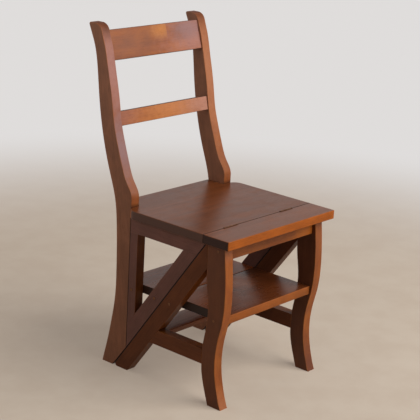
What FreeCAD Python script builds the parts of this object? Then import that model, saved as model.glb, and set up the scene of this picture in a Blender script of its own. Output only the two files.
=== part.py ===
import FreeCAD
import Part
import math
import os

# A hardwood side chair that turns over into a step ladder.
# The front half stands still: front legs, front seat strip, shelf, tread, stringers and stretchers.
# The back half swings 180 degrees forward about two butt hinges in the seam of the seat:
# back posts, main seat board, crest rail, back rail, rear shelf and its side frames.
# Sizes are in millimetres. X runs across the seat, with x = 0 on the middle line.
# While the pieces are modelled, depth is measured back from the seat's front edge and
# height up from the floor. The last step moves the chair so that the origin lies on the floor
# under the middle of its bounding box.

# Seat
SEAT_HEIGHT = 450.0
SEAT_WIDTH = 424.0
SEAT_REAR = 404.0
SEAT_CORNER_RADIUS = 27.0
FRONT_CORNER_RADIUS = 3.0
BOARD = 23.0
SEAT_ARRIS = 1.6
BOARD_ROUND = 2.0
SEAM_DEPTH = 82.0
SEAM_GAP = 1.0

# Side frames
FRAME_WIDTH = 388.0
FRAME = 28.0
ARRIS = 1.2
CURVE_TOLERANCE = 0.3
SPLIT_FOOT_DEPTH = 391.0
SPLIT_GAP_AT_FOOT = 2.6
LOWER_STRINGER_WIDTH = 43.0
UPPER_STRINGER_WIDTH = 39.0
STRINGER_TOE_RADIUS = 6.0
STRINGER_HEEL_RADIUS = 7.0
POST_TOE_RADIUS = 8.0
RAIL_HEIGHT = 42.0
INNER_POST_WIDTH = 27.0
LEG_REAR_DEPTH = 79.0
POST_FRONT_DEPTH = 345.0
STRETCHER_TOP = 145.5
STRETCHER_HEIGHT = 40.0

# Curved edges, as (depth, height) points from the top down or from the floor up, each followed by
# the directions in which the edge leaves its first point and arrives at its last
LEG_FRONT_CURVE = [(26.0, 427.0), (17.5, 345.0), (15.5, 285.0), (19.5, 234.0), (31.0, 180.0),
                   (36.5, 130.0), (33.5, 84.0), (25.0, 45.0), (9.5, 0.0)]
LEG_FRONT_ENDS = ((-0.12, -1), (-0.45, -1))
LEG_REAR_CURVE = [(53.0, 0.0), (70.0, 50.0), (79.0, 88.0), (80.5, 125.0), (78.5, 163.0),
                  (72.5, 198.0), (68.5, 235.0), (69.0, 268.0), (74.5, 305.0), (79.0, 345.0)]
LEG_REAR_ENDS = ((0.35, 1), (0, 1))
POST_REAR_CURVE = [(432.0, 0.0), (418.0, 56.0), (404.5, 120.0), (393.5, 190.0), (391.5, 280.0),
                   (396.0, 390.0), (405.0, 460.0), (431.0, 536.0), (460.0, 635.0), (475.5, 722.0),
                   (484.0, 790.0), (497.0, 848.0), (518.0, 895.5)]
POST_REAR_ENDS = ((-0.22, 1), (0.42, 1))
POST_FRONT_CURVE = [(459.0, 848.0), (446.0, 796.0), (434.0, 746.0), (424.5, 698.0), (415.5, 648.0),
                    (402.0, 604.0), (383.0, 550.0), (364.0, 510.0), (350.0, 490.0), (345.0, 472.0)]
POST_TOP_RADIUS = 25.5
POST_TOP_CENTRE_DEPTH = 496.0
POST_TOP_LEAN = math.radians(18.5)
POST_TOP_BACK_RADIUS = 4.0

# Shelves and tread between the side frames
SHELF_TOP = 241.5
FRONT_SHELF_FRONT = 27.0
REAR_SHELF_REAR = 387.0
TREAD_TOP = 145.5
TREAD_FRONT = 216.5
TREAD_REAR = 292.0

# Cross rails; the crest and back rail lean with the posts
APRON_FRONT = 34.0
APRON_THICKNESS = 22.0
APRON_HEIGHT = 41.0
SEAT_RAIL_FRONT = 373.0
SEAT_RAIL_THICKNESS = 20.0
CREST_BOTTOM = (453.0, 809.5)
CREST_TOP = (476.5, 884.0)
CREST_THICKNESS = 20.0
BACK_RAIL_BOTTOM = (417.8, 645.5)
BACK_RAIL_TOP = (426.6, 682.5)
BACK_RAIL_THICKNESS = 18.0

# Joinery: tenons on the rails, loose tenons let into both pieces elsewhere, and round pegs
# driven through the side frames, whose ends show on the outside
TENON_LENGTH = 18.0
TENON_SHOULDER = 6.0
STRETCHER_TENON = 9.4
GLUE_GAP = 0.1
LOOSE_TENON = 8.0
LOOSE_TENON_REACH = 12.0
SEAT_TENON_REACH = 10.0
TREAD_TENON = (255.0, 286.0)
LEG_TENON = (358.0, 384.0)
POST_TENONS = [(88.0, 124.0), (180.0, 220.0), (320.0, 360.0), (392.0, 420.0)]
RAIL_TENONS = [(126.0, 150.0), (323.0, 340.0)]
LEG_TOP_TENON = (36.0, 64.0)
RAIL_TOP_TENONS = [(165.0, 200.0), (270.0, 305.0)]
APRON_END_TENON = (390.0, 403.0)
CROSS_RAIL_TENON = (60.0, 95.0)
PEG_RADIUS = 5.0
PEG_LENGTH = 56.0
PEG_GAP = 0.05
FRONT_PEGS = [(48.0, 230.0), (198.0, 230.0), (46.0, 411.0)]
REAR_PEGS = [(251.0, 230.0), (334.0, 230.0)]

# Butt hinges in the seam
HINGE_RISE = 0.5
HINGE_CENTRE_X = 110.0
HINGE_LENGTH = 50.0
KNUCKLES = 3
KNUCKLE_GAP = 0.3
BARREL_RADIUS = 1.8
BARREL_RELIEF = 0.5
PIN_RADIUS = 0.9
PIN_CLEARANCE = 0.05
PIN_SINK = 0.5
LEAF_FACE_GAP = 0.2
LEAF_BOTTOM = 430.0
HINGE_SCREW_RADIUS = 1.5
HINGE_SCREW_HEAD_RADIUS = 2.7
HINGE_SCREW_LENGTH = 16.0
HINGE_SCREW_SPACING = 30.0
HINGE_SCREW_SIDES = 12
HINGE_SCREW_HEIGHT = 439.0

# Allowances for working the solids: cutters and blanks run past a face by OVERRUN, and an edge
# belongs to a corner or line that it passes within NEAR
OVERRUN = 1.0
NEAR = 0.6
SAME_LENGTH = 0.01

# Sizes that follow from those above
LEAF_THICKNESS = HINGE_SCREW_HEAD_RADIUS - HINGE_SCREW_RADIUS
SEAT_UNDERSIDE = SEAT_HEIGHT - BOARD
HINGE_HEIGHT = SEAT_HEIGHT + HINGE_RISE
CHAIR_HEIGHT = 2 * HINGE_HEIGHT
CHAIR_DEPTH = POST_REAR_CURVE[-1][0]
HALF_SEAT = SEAT_WIDTH / 2
RAIL_UNDERSIDE = SEAT_UNDERSIDE - RAIL_HEIGHT
FRAME_OUTSIDE = FRAME_WIDTH / 2
FRAME_INSIDE = FRAME_OUTSIDE - FRAME
FRAME_MIDDLE = FRAME_OUTSIDE - FRAME / 2
SHELF_UNDERSIDE = SHELF_TOP - BOARD
TREAD_UNDERSIDE = TREAD_TOP - BOARD
INNER_POST_FRONT = POST_FRONT_DEPTH - INNER_POST_WIDTH
SEAT_RAIL_LINE = ((SEAT_RAIL_FRONT, RAIL_UNDERSIDE), (SEAT_RAIL_FRONT, SEAT_UNDERSIDE))
SPLIT_SLOPE = (SPLIT_FOOT_DEPTH - SEAM_DEPTH) / SEAT_UNDERSIDE
SPLIT_STRETCH = math.hypot(1.0, SPLIT_SLOPE)
SPLIT_TOP_ON_POST = (SPLIT_FOOT_DEPTH - POST_FRONT_DEPTH) / SPLIT_SLOPE
BARREL_RELIEF_RADIUS = BARREL_RADIUS + BARREL_RELIEF

ALONG_X = FreeCAD.Vector(1, 0, 0)
ALONG_Y = FreeCAD.Vector(0, 1, 0)


def at(x, depth, height):
    return FreeCAD.Vector(x, depth, height)


def box(x_range, depth_range, height_range):
    """Rectangular block between two values on each axis."""
    corner = at(min(x_range), min(depth_range), min(height_range))
    spans = [abs(high - low) for low, high in (x_range, depth_range, height_range)]
    return Part.makeBox(spans[0], spans[1], spans[2], corner)


def straight(first, last):
    """Straight edge of a side outline between two (depth, height) points."""
    return Part.makeLine(at(0, *first), at(0, *last))


def curved(points, end_directions):
    """Smooth edge of a side outline: tangent arcs close to a curve through (depth, height) points."""
    leaving, arriving = end_directions
    curve = Part.BSplineCurve()
    curve.interpolate(Points=[at(0, *point) for point in points],
                      InitialTangent=at(0, *leaving), FinalTangent=at(0, *arriving))
    return [piece.toShape() for piece in curve.toBiArcs(CURVE_TOLERANCE)]


def arc(first, middle, last):
    return Part.Arc(at(0, *first), at(0, *middle), at(0, *last)).toShape()


def polygon(points):
    """Closed straight-sided side outline."""
    return [straight(a, b) for a, b in zip(points, points[1:] + points[:1])]


def plank(outline, x_from, x_to):
    """Solid cut from a plank: a side outline carried across from x_from to x_to."""
    face = Part.Face(Part.Wire(Part.__sortEdges__(outline)))
    solid = face.extrude(ALONG_X * (x_to - x_from))
    solid.translate(ALONG_X * x_from)
    return solid


def frame_member(outline):
    """Left-hand side-frame member of the full frame thickness."""
    return plank(outline, -FRAME_OUTSIDE, -FRAME_INSIDE)


def mirrored(solid):
    """Right-hand twin of a left-hand piece."""
    return solid.mirror(FreeCAD.Vector(0, 0, 0), ALONG_X)


def cut_all(solid, cutters):
    for cutter in cutters:
        solid = solid.cut(cutter)
    return solid


def edges_at(solid, corners):
    """Edges that run across the chair at the given (depth, height) corners of the side outline."""
    found = []
    for edge in solid.Edges:
        first, last = edge.Vertexes[0].Point, edge.Vertexes[-1].Point
        crosswise = abs(first.x - last.x) > NEAR and abs(first.y - last.y) < NEAR
        middle = (first + last) * 0.5
        if crosswise and any(math.hypot(middle.y - depth, middle.z - height) < NEAR
                             for depth, height in corners):
            found.append(edge)
    return found


def eased(solid, keep):
    """Take the sharpness off the long edges, on the two flat sides, whose middle passes keep."""
    chosen = []
    for edge in solid.Edges:
        middle = edge.valueAt((edge.FirstParameter + edge.LastParameter) / 2)
        ends = [vertex.Point.x for vertex in edge.Vertexes]
        on_side = max(ends) - min(ends) < SAME_LENGTH
        if on_side and middle.z > NEAR and keep(middle):
            chosen.append(edge)
    return solid.makeChamfer(ARRIS, chosen)


def split_depth(height):
    """Depth of the sloping split between the two halves at a height."""
    return SEAM_DEPTH + (SEAT_UNDERSIDE - height) * SPLIT_SLOPE


def half_gap(height):
    """Half the opening of the split, which widens from the seam to the floor."""
    low_end = SPLIT_GAP_AT_FOOT - (SPLIT_GAP_AT_FOOT - SEAM_GAP) * height / SEAT_UNDERSIDE
    return low_end / 2


def front_split(height):
    return (split_depth(height) - half_gap(height), height)


def back_split(height):
    return (split_depth(height) + half_gap(height), height)


def lower_edge(height):
    """Depth of the lower stringer's free edge."""
    return split_depth(height) - LOWER_STRINGER_WIDTH * SPLIT_STRETCH


def upper_edge(height):
    """Depth of the upper stringer's free edge."""
    return split_depth(height) + UPPER_STRINGER_WIDTH * SPLIT_STRETCH


def leaning_section(bottom, top, thickness, shrink=0.0, grow=0.0):
    """Corners of a rail that leans from bottom to top along its front face.

    shrink draws the ends of the section in, as for a tenon; grow opens all four sides.
    """
    rise = (top[0] - bottom[0], top[1] - bottom[1])
    length = math.hypot(*rise)
    up = (rise[0] / length, rise[1] / length)
    back = (up[1], -up[0])
    ends = (shrink - grow, length - shrink + grow)
    sides = (shrink - grow, thickness - shrink + grow)
    return [(bottom[0] + up[0] * e + back[0] * s, bottom[1] + up[1] * e + back[1] * s)
            for e, s in ((ends[0], sides[0]), (ends[1], sides[0]), (ends[1], sides[1]),
                         (ends[0], sides[1]))]


def tenoned_rail(bottom, top, thickness):
    """Cross rail between the side frames, with a tenon at each end."""
    section = leaning_section(bottom, top, thickness)
    body = plank(polygon(section), -FRAME_INSIDE, FRAME_INSIDE)
    body = body.makeChamfer(ARRIS, edges_at(body, section))
    reach = FRAME_INSIDE + TENON_LENGTH
    tenon = plank(polygon(leaning_section(bottom, top, thickness, TENON_SHOULDER)), -reach, reach)
    return body.fuse(tenon).removeSplitter()


def mortise(bottom, top, thickness):
    """Slot in the left side frame for one end of a tenoned rail."""
    section = leaning_section(bottom, top, thickness, TENON_SHOULDER, GLUE_GAP)
    return plank(polygon(section), -FRAME_INSIDE - TENON_LENGTH - GLUE_GAP, -FRAME_INSIDE + OVERRUN)


def peg(place, grow=0.0):
    """Round peg through the left side frame into the end of a shelf or apron."""
    start = at(-FRAME_OUTSIDE - grow, *place)
    return Part.makeCylinder(PEG_RADIUS + grow, PEG_LENGTH + 2 * grow, start, ALONG_X)


def peg_holes(places):
    return [peg(place, PEG_GAP) for place in places]


def around(centre, grow=0.0):
    """Range of a loose tenon's thickness about its middle."""
    return (centre - LOOSE_TENON / 2 - grow, centre + LOOSE_TENON / 2 + grow)


def widened(span, grow):
    return (span[0] - grow, span[1] + grow)


def crossing(face, reach, grow):
    """Range of a loose tenon that lies half on each side of a joint face."""
    return (face - reach - grow, face + reach + grow)


def tread_tenon(grow=0.0):
    return box(crossing(-FRAME_INSIDE, LOOSE_TENON_REACH, grow), widened(TREAD_TENON, grow),
               around(TREAD_TOP - BOARD / 2, grow))


def leg_tenon(grow=0.0):
    return box(around(-FRAME_MIDDLE, grow), crossing(LEG_REAR_DEPTH, LOOSE_TENON_REACH, grow),
               widened(LEG_TENON, grow))


def post_tenons(grow=0.0):
    return [box(around(-FRAME_MIDDLE, grow), crossing(POST_FRONT_DEPTH, LOOSE_TENON_REACH, grow),
                widened(heights, grow)) for heights in POST_TENONS]


def rail_tenons(grow=0.0):
    return [box(around(-FRAME_MIDDLE, grow), widened(depths, grow),
                crossing(RAIL_UNDERSIDE, LOOSE_TENON_REACH, grow)) for depths in RAIL_TENONS]


def leg_top_tenon(grow=0.0):
    return box(around(-FRAME_MIDDLE, grow), widened(LEG_TOP_TENON, grow),
               crossing(SEAT_UNDERSIDE, SEAT_TENON_REACH, grow))


def rail_top_tenons(grow=0.0):
    return [box(around(-FRAME_MIDDLE, grow), widened(depths, grow),
                crossing(SEAT_UNDERSIDE, SEAT_TENON_REACH, grow)) for depths in RAIL_TOP_TENONS]


def apron_end_tenon(grow=0.0):
    return box(crossing(-FRAME_INSIDE, LOOSE_TENON_REACH, grow),
               around(APRON_FRONT + APRON_THICKNESS / 2, grow), widened(APRON_END_TENON, grow))


def cross_rail_tenon(front, thickness, grow=0.0):
    """Loose tenon between the top of a cross rail and the seat board on it."""
    left = (-CROSS_RAIL_TENON[1], -CROSS_RAIL_TENON[0])
    return box(widened(left, grow), around(front + thickness / 2, grow),
               crossing(SEAT_UNDERSIDE, SEAT_TENON_REACH, grow))


def apron_top_tenon(grow=0.0):
    return cross_rail_tenon(APRON_FRONT, APRON_THICKNESS, grow)


def seat_rail_top_tenon(grow=0.0):
    return cross_rail_tenon(SEAT_RAIL_FRONT, SEAT_RAIL_THICKNESS, grow)


def with_twins(solids):
    """Left-hand pieces together with their right-hand twins."""
    return solids + [mirrored(solid) for solid in solids]


def stretcher_section(grow=0.0, shrink=0.0):
    low = STRETCHER_TOP - STRETCHER_HEIGHT + shrink - grow
    return (low, STRETCHER_TOP - shrink + grow)


def stretcher_tenons(grow=0.0):
    """Tenons of the left side stretcher into the front leg and into the stringer."""
    heights = stretcher_section(grow, TENON_SHOULDER)
    width = crossing(-FRAME_MIDDLE, STRETCHER_TENON / 2, grow)
    front_end = LEG_REAR_DEPTH - TENON_LENGTH - grow
    rear_end = lower_edge(STRETCHER_TOP) + TENON_LENGTH + grow
    return [box(width, (front_end, LEG_REAR_DEPTH + TENON_LENGTH), heights),
            box(width, (lower_edge(STRETCHER_TOP) - TENON_LENGTH, rear_end), heights)]


def front_leg():
    """Sabre-shaped front leg with its knee under the shelf and its toe turned forward."""
    rear_top = (LEG_REAR_DEPTH, SEAT_UNDERSIDE)
    outline = curved(LEG_FRONT_CURVE, LEG_FRONT_ENDS)
    outline += [straight(LEG_FRONT_CURVE[-1], LEG_REAR_CURVE[0])]
    outline += curved(LEG_REAR_CURVE, LEG_REAR_ENDS)
    outline += [straight(LEG_REAR_CURVE[-1], rear_top),
                straight(rear_top, LEG_FRONT_CURVE[0])]
    tenons = [leg_tenon(GLUE_GAP), leg_top_tenon(GLUE_GAP), apron_end_tenon(GLUE_GAP),
              stretcher_tenons(GLUE_GAP)[0]]
    return cut_all(frame_member(outline), tenons + peg_holes([FRONT_PEGS[0], FRONT_PEGS[2]]))


def lower_stringer():
    """Lower half of the sloping side brace, from behind the front leg to the floor."""
    toe = (lower_edge(0), 0)
    heel = front_split(0)
    corner_height = SEAT_UNDERSIDE - (LEG_REAR_DEPTH - lower_edge(SEAT_UNDERSIDE)) / SPLIT_SLOPE
    outline = polygon([(LEG_REAR_DEPTH, SEAT_UNDERSIDE), front_split(SEAT_UNDERSIDE), heel, toe,
                       (LEG_REAR_DEPTH, corner_height)])
    stringer = frame_member(outline)
    stringer = stringer.makeFillet(STRINGER_TOE_RADIUS, edges_at(stringer, [toe]))
    stringer = stringer.makeFillet(STRINGER_HEEL_RADIUS, edges_at(stringer, [heel]))
    stringer = eased(stringer, is_lower_edge)
    return cut_all(stringer, [leg_tenon(GLUE_GAP), tread_tenon(GLUE_GAP),
                              stretcher_tenons(GLUE_GAP)[1]] + peg_holes(FRONT_PEGS[1:2]))


def is_lower_edge(point):
    return abs(point.y - lower_edge(point.z)) < NEAR


def is_upper_edge(point):
    return abs(point.y - upper_edge(point.z)) < NEAR


def side_stretcher(leg, stringer):
    """Level rail from the front leg to the stringer, shaped to both."""
    low, high = stretcher_section()
    inside_leg = LEG_REAR_DEPTH - TENON_LENGTH / 2
    outline = polygon([(inside_leg, high), (lower_edge(high), high),
                       (lower_edge(low), low), (inside_leg, low)])
    body = eased(frame_member(outline), is_level_edge_of_stretcher)
    body = max(body.cut(leg).Solids, key=lambda solid: solid.Volume)
    for tenon in stretcher_tenons():
        body = body.fuse(tenon)
    return body.cut(leg).cut(stringer).removeSplitter()


def is_level_edge_of_stretcher(point):
    return min(abs(point.z - height) for height in stretcher_section()) < NEAR


def front_seat_board():
    """Fixed strip of the seat in front of the seam, overhanging the legs all round."""
    board = box((-HALF_SEAT, HALF_SEAT), (0, SEAM_DEPTH - SEAM_GAP / 2),
                (SEAT_UNDERSIDE, SEAT_HEIGHT))
    board = board.makeFillet(FRONT_CORNER_RADIUS, edges_at_depth(board, 0, BOARD))
    board = board.makeChamfer(SEAT_ARRIS, free_rim(board, is_off_seam))
    tenons = with_twins([leg_top_tenon(GLUE_GAP), apron_top_tenon(GLUE_GAP)])
    return cut_all(board, tenons + hinge_recesses(-1))


def edges_at_depth(board, depth, length):
    """Edges of the given length that start at one depth."""
    return [edge for edge in board.Edges if abs(edge.Length - length) < SAME_LENGTH
            and abs(edge.Vertexes[0].Point.y - depth) < NEAR]


def free_rim(board, keep):
    """Level rim edges of a seat board whose ends pass keep."""
    found = []
    for edge in board.Edges:
        ends = [vertex.Point for vertex in edge.Vertexes]
        if abs(ends[0].z - ends[-1].z) < SAME_LENGTH and keep(ends):
            found.append(edge)
    return found


def is_off_seam(ends):
    return any(abs(end.y - SEAM_DEPTH) > NEAR for end in ends)


def is_at_side(ends):
    return all(abs(end.x) > HALF_SEAT - SEAT_CORNER_RADIUS - NEAR for end in ends)


def main_seat_board(post):
    """Large seat board behind the seam, rounded in to the back posts and notched round them."""
    board = box((-HALF_SEAT, HALF_SEAT), (SEAM_DEPTH + SEAM_GAP / 2, POST_FRONT_DEPTH),
                (SEAT_UNDERSIDE, SEAT_HEIGHT))
    corners = edges_at_depth(board, POST_FRONT_DEPTH, BOARD)
    board = board.makeFillet(SEAT_CORNER_RADIUS, corners)
    board = board.makeChamfer(SEAT_ARRIS, free_rim(board, is_at_side))
    tongue = box((-FRAME_INSIDE, FRAME_INSIDE), (POST_FRONT_DEPTH - SEAT_CORNER_RADIUS, SEAT_REAR),
                 (SEAT_UNDERSIDE, SEAT_HEIGHT))
    rear_rim = edges_at_depth(tongue, SEAT_REAR, 2 * FRAME_INSIDE)
    board = board.fuse(tongue.makeChamfer(SEAT_ARRIS, rear_rim)).removeSplitter()
    tenons = with_twins(rail_top_tenons(GLUE_GAP) + [seat_rail_top_tenon(GLUE_GAP)])
    return cut_all(board, tenons + hinge_recesses(1) + [post, mirrored(post)])


def shelf(outline, places, round_corners):
    """Board between the side frames, held by pegs through the frames."""
    board = plank(polygon(outline), -FRAME_INSIDE, FRAME_INSIDE)
    board = board.makeFillet(BOARD_ROUND, edges_at(board, round_corners))
    return cut_all(board, with_twins(peg_holes(places)))


def front_shelf():
    """Front part of the shelf, a tread when the chair is turned over."""
    front = [(FRONT_SHELF_FRONT, SHELF_UNDERSIDE), (FRONT_SHELF_FRONT, SHELF_TOP)]
    rear = [front_split(SHELF_TOP), front_split(SHELF_UNDERSIDE)]
    return shelf(front + rear, FRONT_PEGS[:2], front)


def rear_shelf():
    """Rear part of the shelf, behind the split."""
    front = [back_split(SHELF_UNDERSIDE), back_split(SHELF_TOP)]
    rear = [(REAR_SHELF_REAR, SHELF_TOP), (REAR_SHELF_REAR, SHELF_UNDERSIDE)]
    return shelf(front + rear, REAR_PEGS, rear)


def lower_tread():
    """Lowest tread, with its front and rear edges bevelled to the slope of the stringers."""
    bevel = BOARD * SPLIT_SLOPE
    section = [(TREAD_FRONT + bevel, TREAD_UNDERSIDE), (TREAD_FRONT, TREAD_TOP),
               (TREAD_REAR, TREAD_TOP), (TREAD_REAR + bevel, TREAD_UNDERSIDE)]
    board = plank(polygon(section), -FRAME_INSIDE, FRAME_INSIDE)
    board = board.makeFillet(BOARD_ROUND, edges_at(board, section))
    return cut_all(board, with_twins([tread_tenon(GLUE_GAP)]))


def front_apron():
    """Rail under the front edge of the seat, butted between the front legs."""
    rear = APRON_FRONT + APRON_THICKNESS
    lower_corners = [(rear, SEAT_UNDERSIDE - APRON_HEIGHT),
                     (APRON_FRONT, SEAT_UNDERSIDE - APRON_HEIGHT)]
    section = [(APRON_FRONT, SEAT_UNDERSIDE), (rear, SEAT_UNDERSIDE)] + lower_corners
    rail = plank(polygon(section), -FRAME_INSIDE, FRAME_INSIDE)
    rail = rail.makeChamfer(ARRIS, edges_at(rail, lower_corners))
    tenons = [apron_end_tenon(GLUE_GAP), apron_top_tenon(GLUE_GAP)]
    return cut_all(rail, with_twins(tenons + peg_holes(FRONT_PEGS[2:])))


def rear_seat_rail():
    """Rail under the rear edge of the seat, tenoned into the back posts."""
    rail = tenoned_rail(*SEAT_RAIL_LINE, SEAT_RAIL_THICKNESS)
    return cut_all(rail, with_twins([seat_rail_top_tenon(GLUE_GAP)]))


def back_post():
    """Rear leg and back post in one S-curved piece, scrolled back at its top."""
    crown, shoulder, top_front = [post_top_point(angle) for angle in
                                  (math.pi / 2, math.pi / 4, POST_TOP_LEAN)]
    rear_top = (CHAIR_DEPTH, CHAIR_HEIGHT)
    top_direction = (-math.sin(POST_TOP_LEAN), -math.cos(POST_TOP_LEAN))
    outline = [straight(back_split(0), POST_REAR_CURVE[0])]
    outline += curved(POST_REAR_CURVE, POST_REAR_ENDS)
    outline += [straight(POST_REAR_CURVE[-1], rear_top),
                straight(rear_top, crown),
                arc(crown, shoulder, top_front)]
    outline += curved([top_front] + POST_FRONT_CURVE, (top_direction, (0, -1)))
    outline += [straight(POST_FRONT_CURVE[-1], (POST_FRONT_DEPTH, SPLIT_TOP_ON_POST)),
                straight((POST_FRONT_DEPTH, SPLIT_TOP_ON_POST), back_split(0))]
    post = frame_member(outline)
    post = post.makeFillet(POST_TOE_RADIUS, edges_at(post, [back_split(0)]))
    post = post.makeFillet(POST_TOP_BACK_RADIUS, edges_at(post, [rear_top]))
    mortises = [mortise(CREST_BOTTOM, CREST_TOP, CREST_THICKNESS),
                mortise(BACK_RAIL_BOTTOM, BACK_RAIL_TOP, BACK_RAIL_THICKNESS),
                mortise(*SEAT_RAIL_LINE, SEAT_RAIL_THICKNESS)]
    return cut_all(post, mortises + post_tenons(GLUE_GAP))


def post_top_point(angle):
    """Point on the rounding at the front of the post's top, by its angle above level."""
    return (POST_TOP_CENTRE_DEPTH - POST_TOP_RADIUS * math.cos(angle),
            CHAIR_HEIGHT - POST_TOP_RADIUS * (1 - math.sin(angle)))


def side_rail():
    """Rail under the side of the main seat board."""
    outline = polygon([back_split(SEAT_UNDERSIDE), (POST_FRONT_DEPTH, SEAT_UNDERSIDE),
                       (POST_FRONT_DEPTH, RAIL_UNDERSIDE), back_split(RAIL_UNDERSIDE)])
    rail = eased(frame_member(outline), is_rail_underside)
    return cut_all(rail, rail_top_tenons(GLUE_GAP) + post_tenons(GLUE_GAP) + rail_tenons(GLUE_GAP))


def is_rail_underside(point):
    return abs(point.z - RAIL_UNDERSIDE) < NEAR


def inner_post():
    """Upright in front of the back post, from the side rail down to the upper stringer."""
    outline = polygon([(INNER_POST_FRONT, RAIL_UNDERSIDE), (POST_FRONT_DEPTH, RAIL_UNDERSIDE),
                       (POST_FRONT_DEPTH, height_of_upper_edge(POST_FRONT_DEPTH)),
                       (INNER_POST_FRONT, height_of_upper_edge(INNER_POST_FRONT))])
    post = eased(frame_member(outline), is_inner_post_front)
    return cut_all(post, post_tenons(GLUE_GAP) + rail_tenons(GLUE_GAP) + peg_holes(REAR_PEGS[1:]))


def is_inner_post_front(point):
    return abs(point.y - INNER_POST_FRONT) < NEAR


def height_of_upper_edge(depth):
    return SEAT_UNDERSIDE - (depth - upper_edge(SEAT_UNDERSIDE)) / SPLIT_SLOPE


def upper_stringer():
    """Upper half of the sloping side brace, from the side rail down to the back post."""
    outline = polygon([back_split(RAIL_UNDERSIDE), (upper_edge(RAIL_UNDERSIDE), RAIL_UNDERSIDE),
                       (POST_FRONT_DEPTH, height_of_upper_edge(POST_FRONT_DEPTH)),
                       (POST_FRONT_DEPTH, SPLIT_TOP_ON_POST)])
    stringer = eased(frame_member(outline), is_upper_edge)
    return cut_all(stringer, post_tenons(GLUE_GAP) + rail_tenons(GLUE_GAP)
                   + peg_holes(REAR_PEGS[:1]))


def hinge_leaf(side):
    """Hinge leaf with its knuckles: side -1 is let into the front strip, 1 into the main board."""
    near = SEAM_DEPTH + side * LEAF_FACE_GAP
    far = near + side * LEAF_THICKNESS
    half = HINGE_LENGTH / 2
    plate_top = HINGE_HEIGHT - BARREL_RELIEF_RADIUS
    pitch = HINGE_LENGTH / KNUCKLES
    leaf = box((-half, half), (near, far), (LEAF_BOTTOM, plate_top))
    for index in range(KNUCKLES):
        if (index % 2 == 0) == (side < 0):
            start = -half + index * pitch + KNUCKLE_GAP / 2
            width = pitch - KNUCKLE_GAP
            leaf = leaf.fuse(box((start, start + width), (near, far), (plate_top, HINGE_HEIGHT)))
            leaf = leaf.fuse(along_hinge(BARREL_RADIUS, start, start + width))
    bore = along_hinge(PIN_RADIUS + PIN_CLEARANCE, -half - OVERRUN, half + OVERRUN)
    return cut_all(leaf, [bore] + hinge_screws(side, GLUE_GAP)).removeSplitter()


def along_hinge(radius, x_from, x_to):
    """Round bar on the hinge's axis."""
    return Part.makeCylinder(radius, x_to - x_from, at(x_from, SEAM_DEPTH, HINGE_HEIGHT), ALONG_X)


def hinge_screws(side, grow=0.0):
    """Countersunk screws of one leaf, driven away from the seam, with plain many-sided shanks."""
    sections = [(-grow, HINGE_SCREW_HEAD_RADIUS), (LEAF_THICKNESS, HINGE_SCREW_RADIUS),
                (HINGE_SCREW_LENGTH + grow, HINGE_SCREW_RADIUS)]
    screws = []
    for x in (-HINGE_SCREW_SPACING / 2, HINGE_SCREW_SPACING / 2):
        screws.append(many_sided([screw_ring(x, SEAM_DEPTH + side * (LEAF_FACE_GAP + along), radius + grow)
                                  for along, radius in sections]))
    return screws


def screw_ring(x, depth, radius):
    """Corners of a hinge screw's section, square to its shank."""
    angles = [math.tau * index / HINGE_SCREW_SIDES for index in range(HINGE_SCREW_SIDES)]
    return [at(x + radius * math.cos(angle), depth, HINGE_SCREW_HEIGHT + radius * math.sin(angle))
            for angle in angles]


def many_sided(rings):
    """Solid with flat sides from ring to ring of corners, closed by its first and last ring."""
    outlines = [rings[0], rings[-1]]
    for ring, following in zip(rings, rings[1:]):
        for index in range(len(ring)):
            outlines.append([ring[index - 1], ring[index], following[index], following[index - 1]])
    faces = [Part.Face(Part.makePolygon(corners + corners[:1])) for corners in outlines]
    return Part.Solid(Part.Shell(faces))


def hinge_pin():
    """Plain pin, a little shorter than the barrel it runs in."""
    half = HINGE_LENGTH / 2 - PIN_SINK
    return along_hinge(PIN_RADIUS, -half, half)


def hinge_recesses(side):
    """Leaf mortise, barrel groove and screw holes of both hinges, cut in one seat board."""
    half = HINGE_LENGTH / 2 + GLUE_GAP
    far = SEAM_DEPTH + side * (LEAF_FACE_GAP + LEAF_THICKNESS + GLUE_GAP)
    leaf_mortise = box((-half, half), (SEAM_DEPTH, far),
                       (LEAF_BOTTOM - GLUE_GAP, SEAT_HEIGHT + OVERRUN))
    groove_end = HINGE_LENGTH / 2 + BARREL_RELIEF
    groove = along_hinge(BARREL_RELIEF_RADIUS, -groove_end, groove_end)
    cutters = [leaf_mortise, groove] + hinge_screws(side, GLUE_GAP)
    return [moved(cutter, x) for cutter in cutters for x in (-HINGE_CENTRE_X, HINGE_CENTRE_X)]


def moved(solid, x):
    copy = solid.copy()
    copy.translate(ALONG_X * x)
    return copy


def both_sides(solids):
    """Group of left-hand pieces and their right-hand twins."""
    return Part.makeCompound(with_twins(solids))


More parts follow.
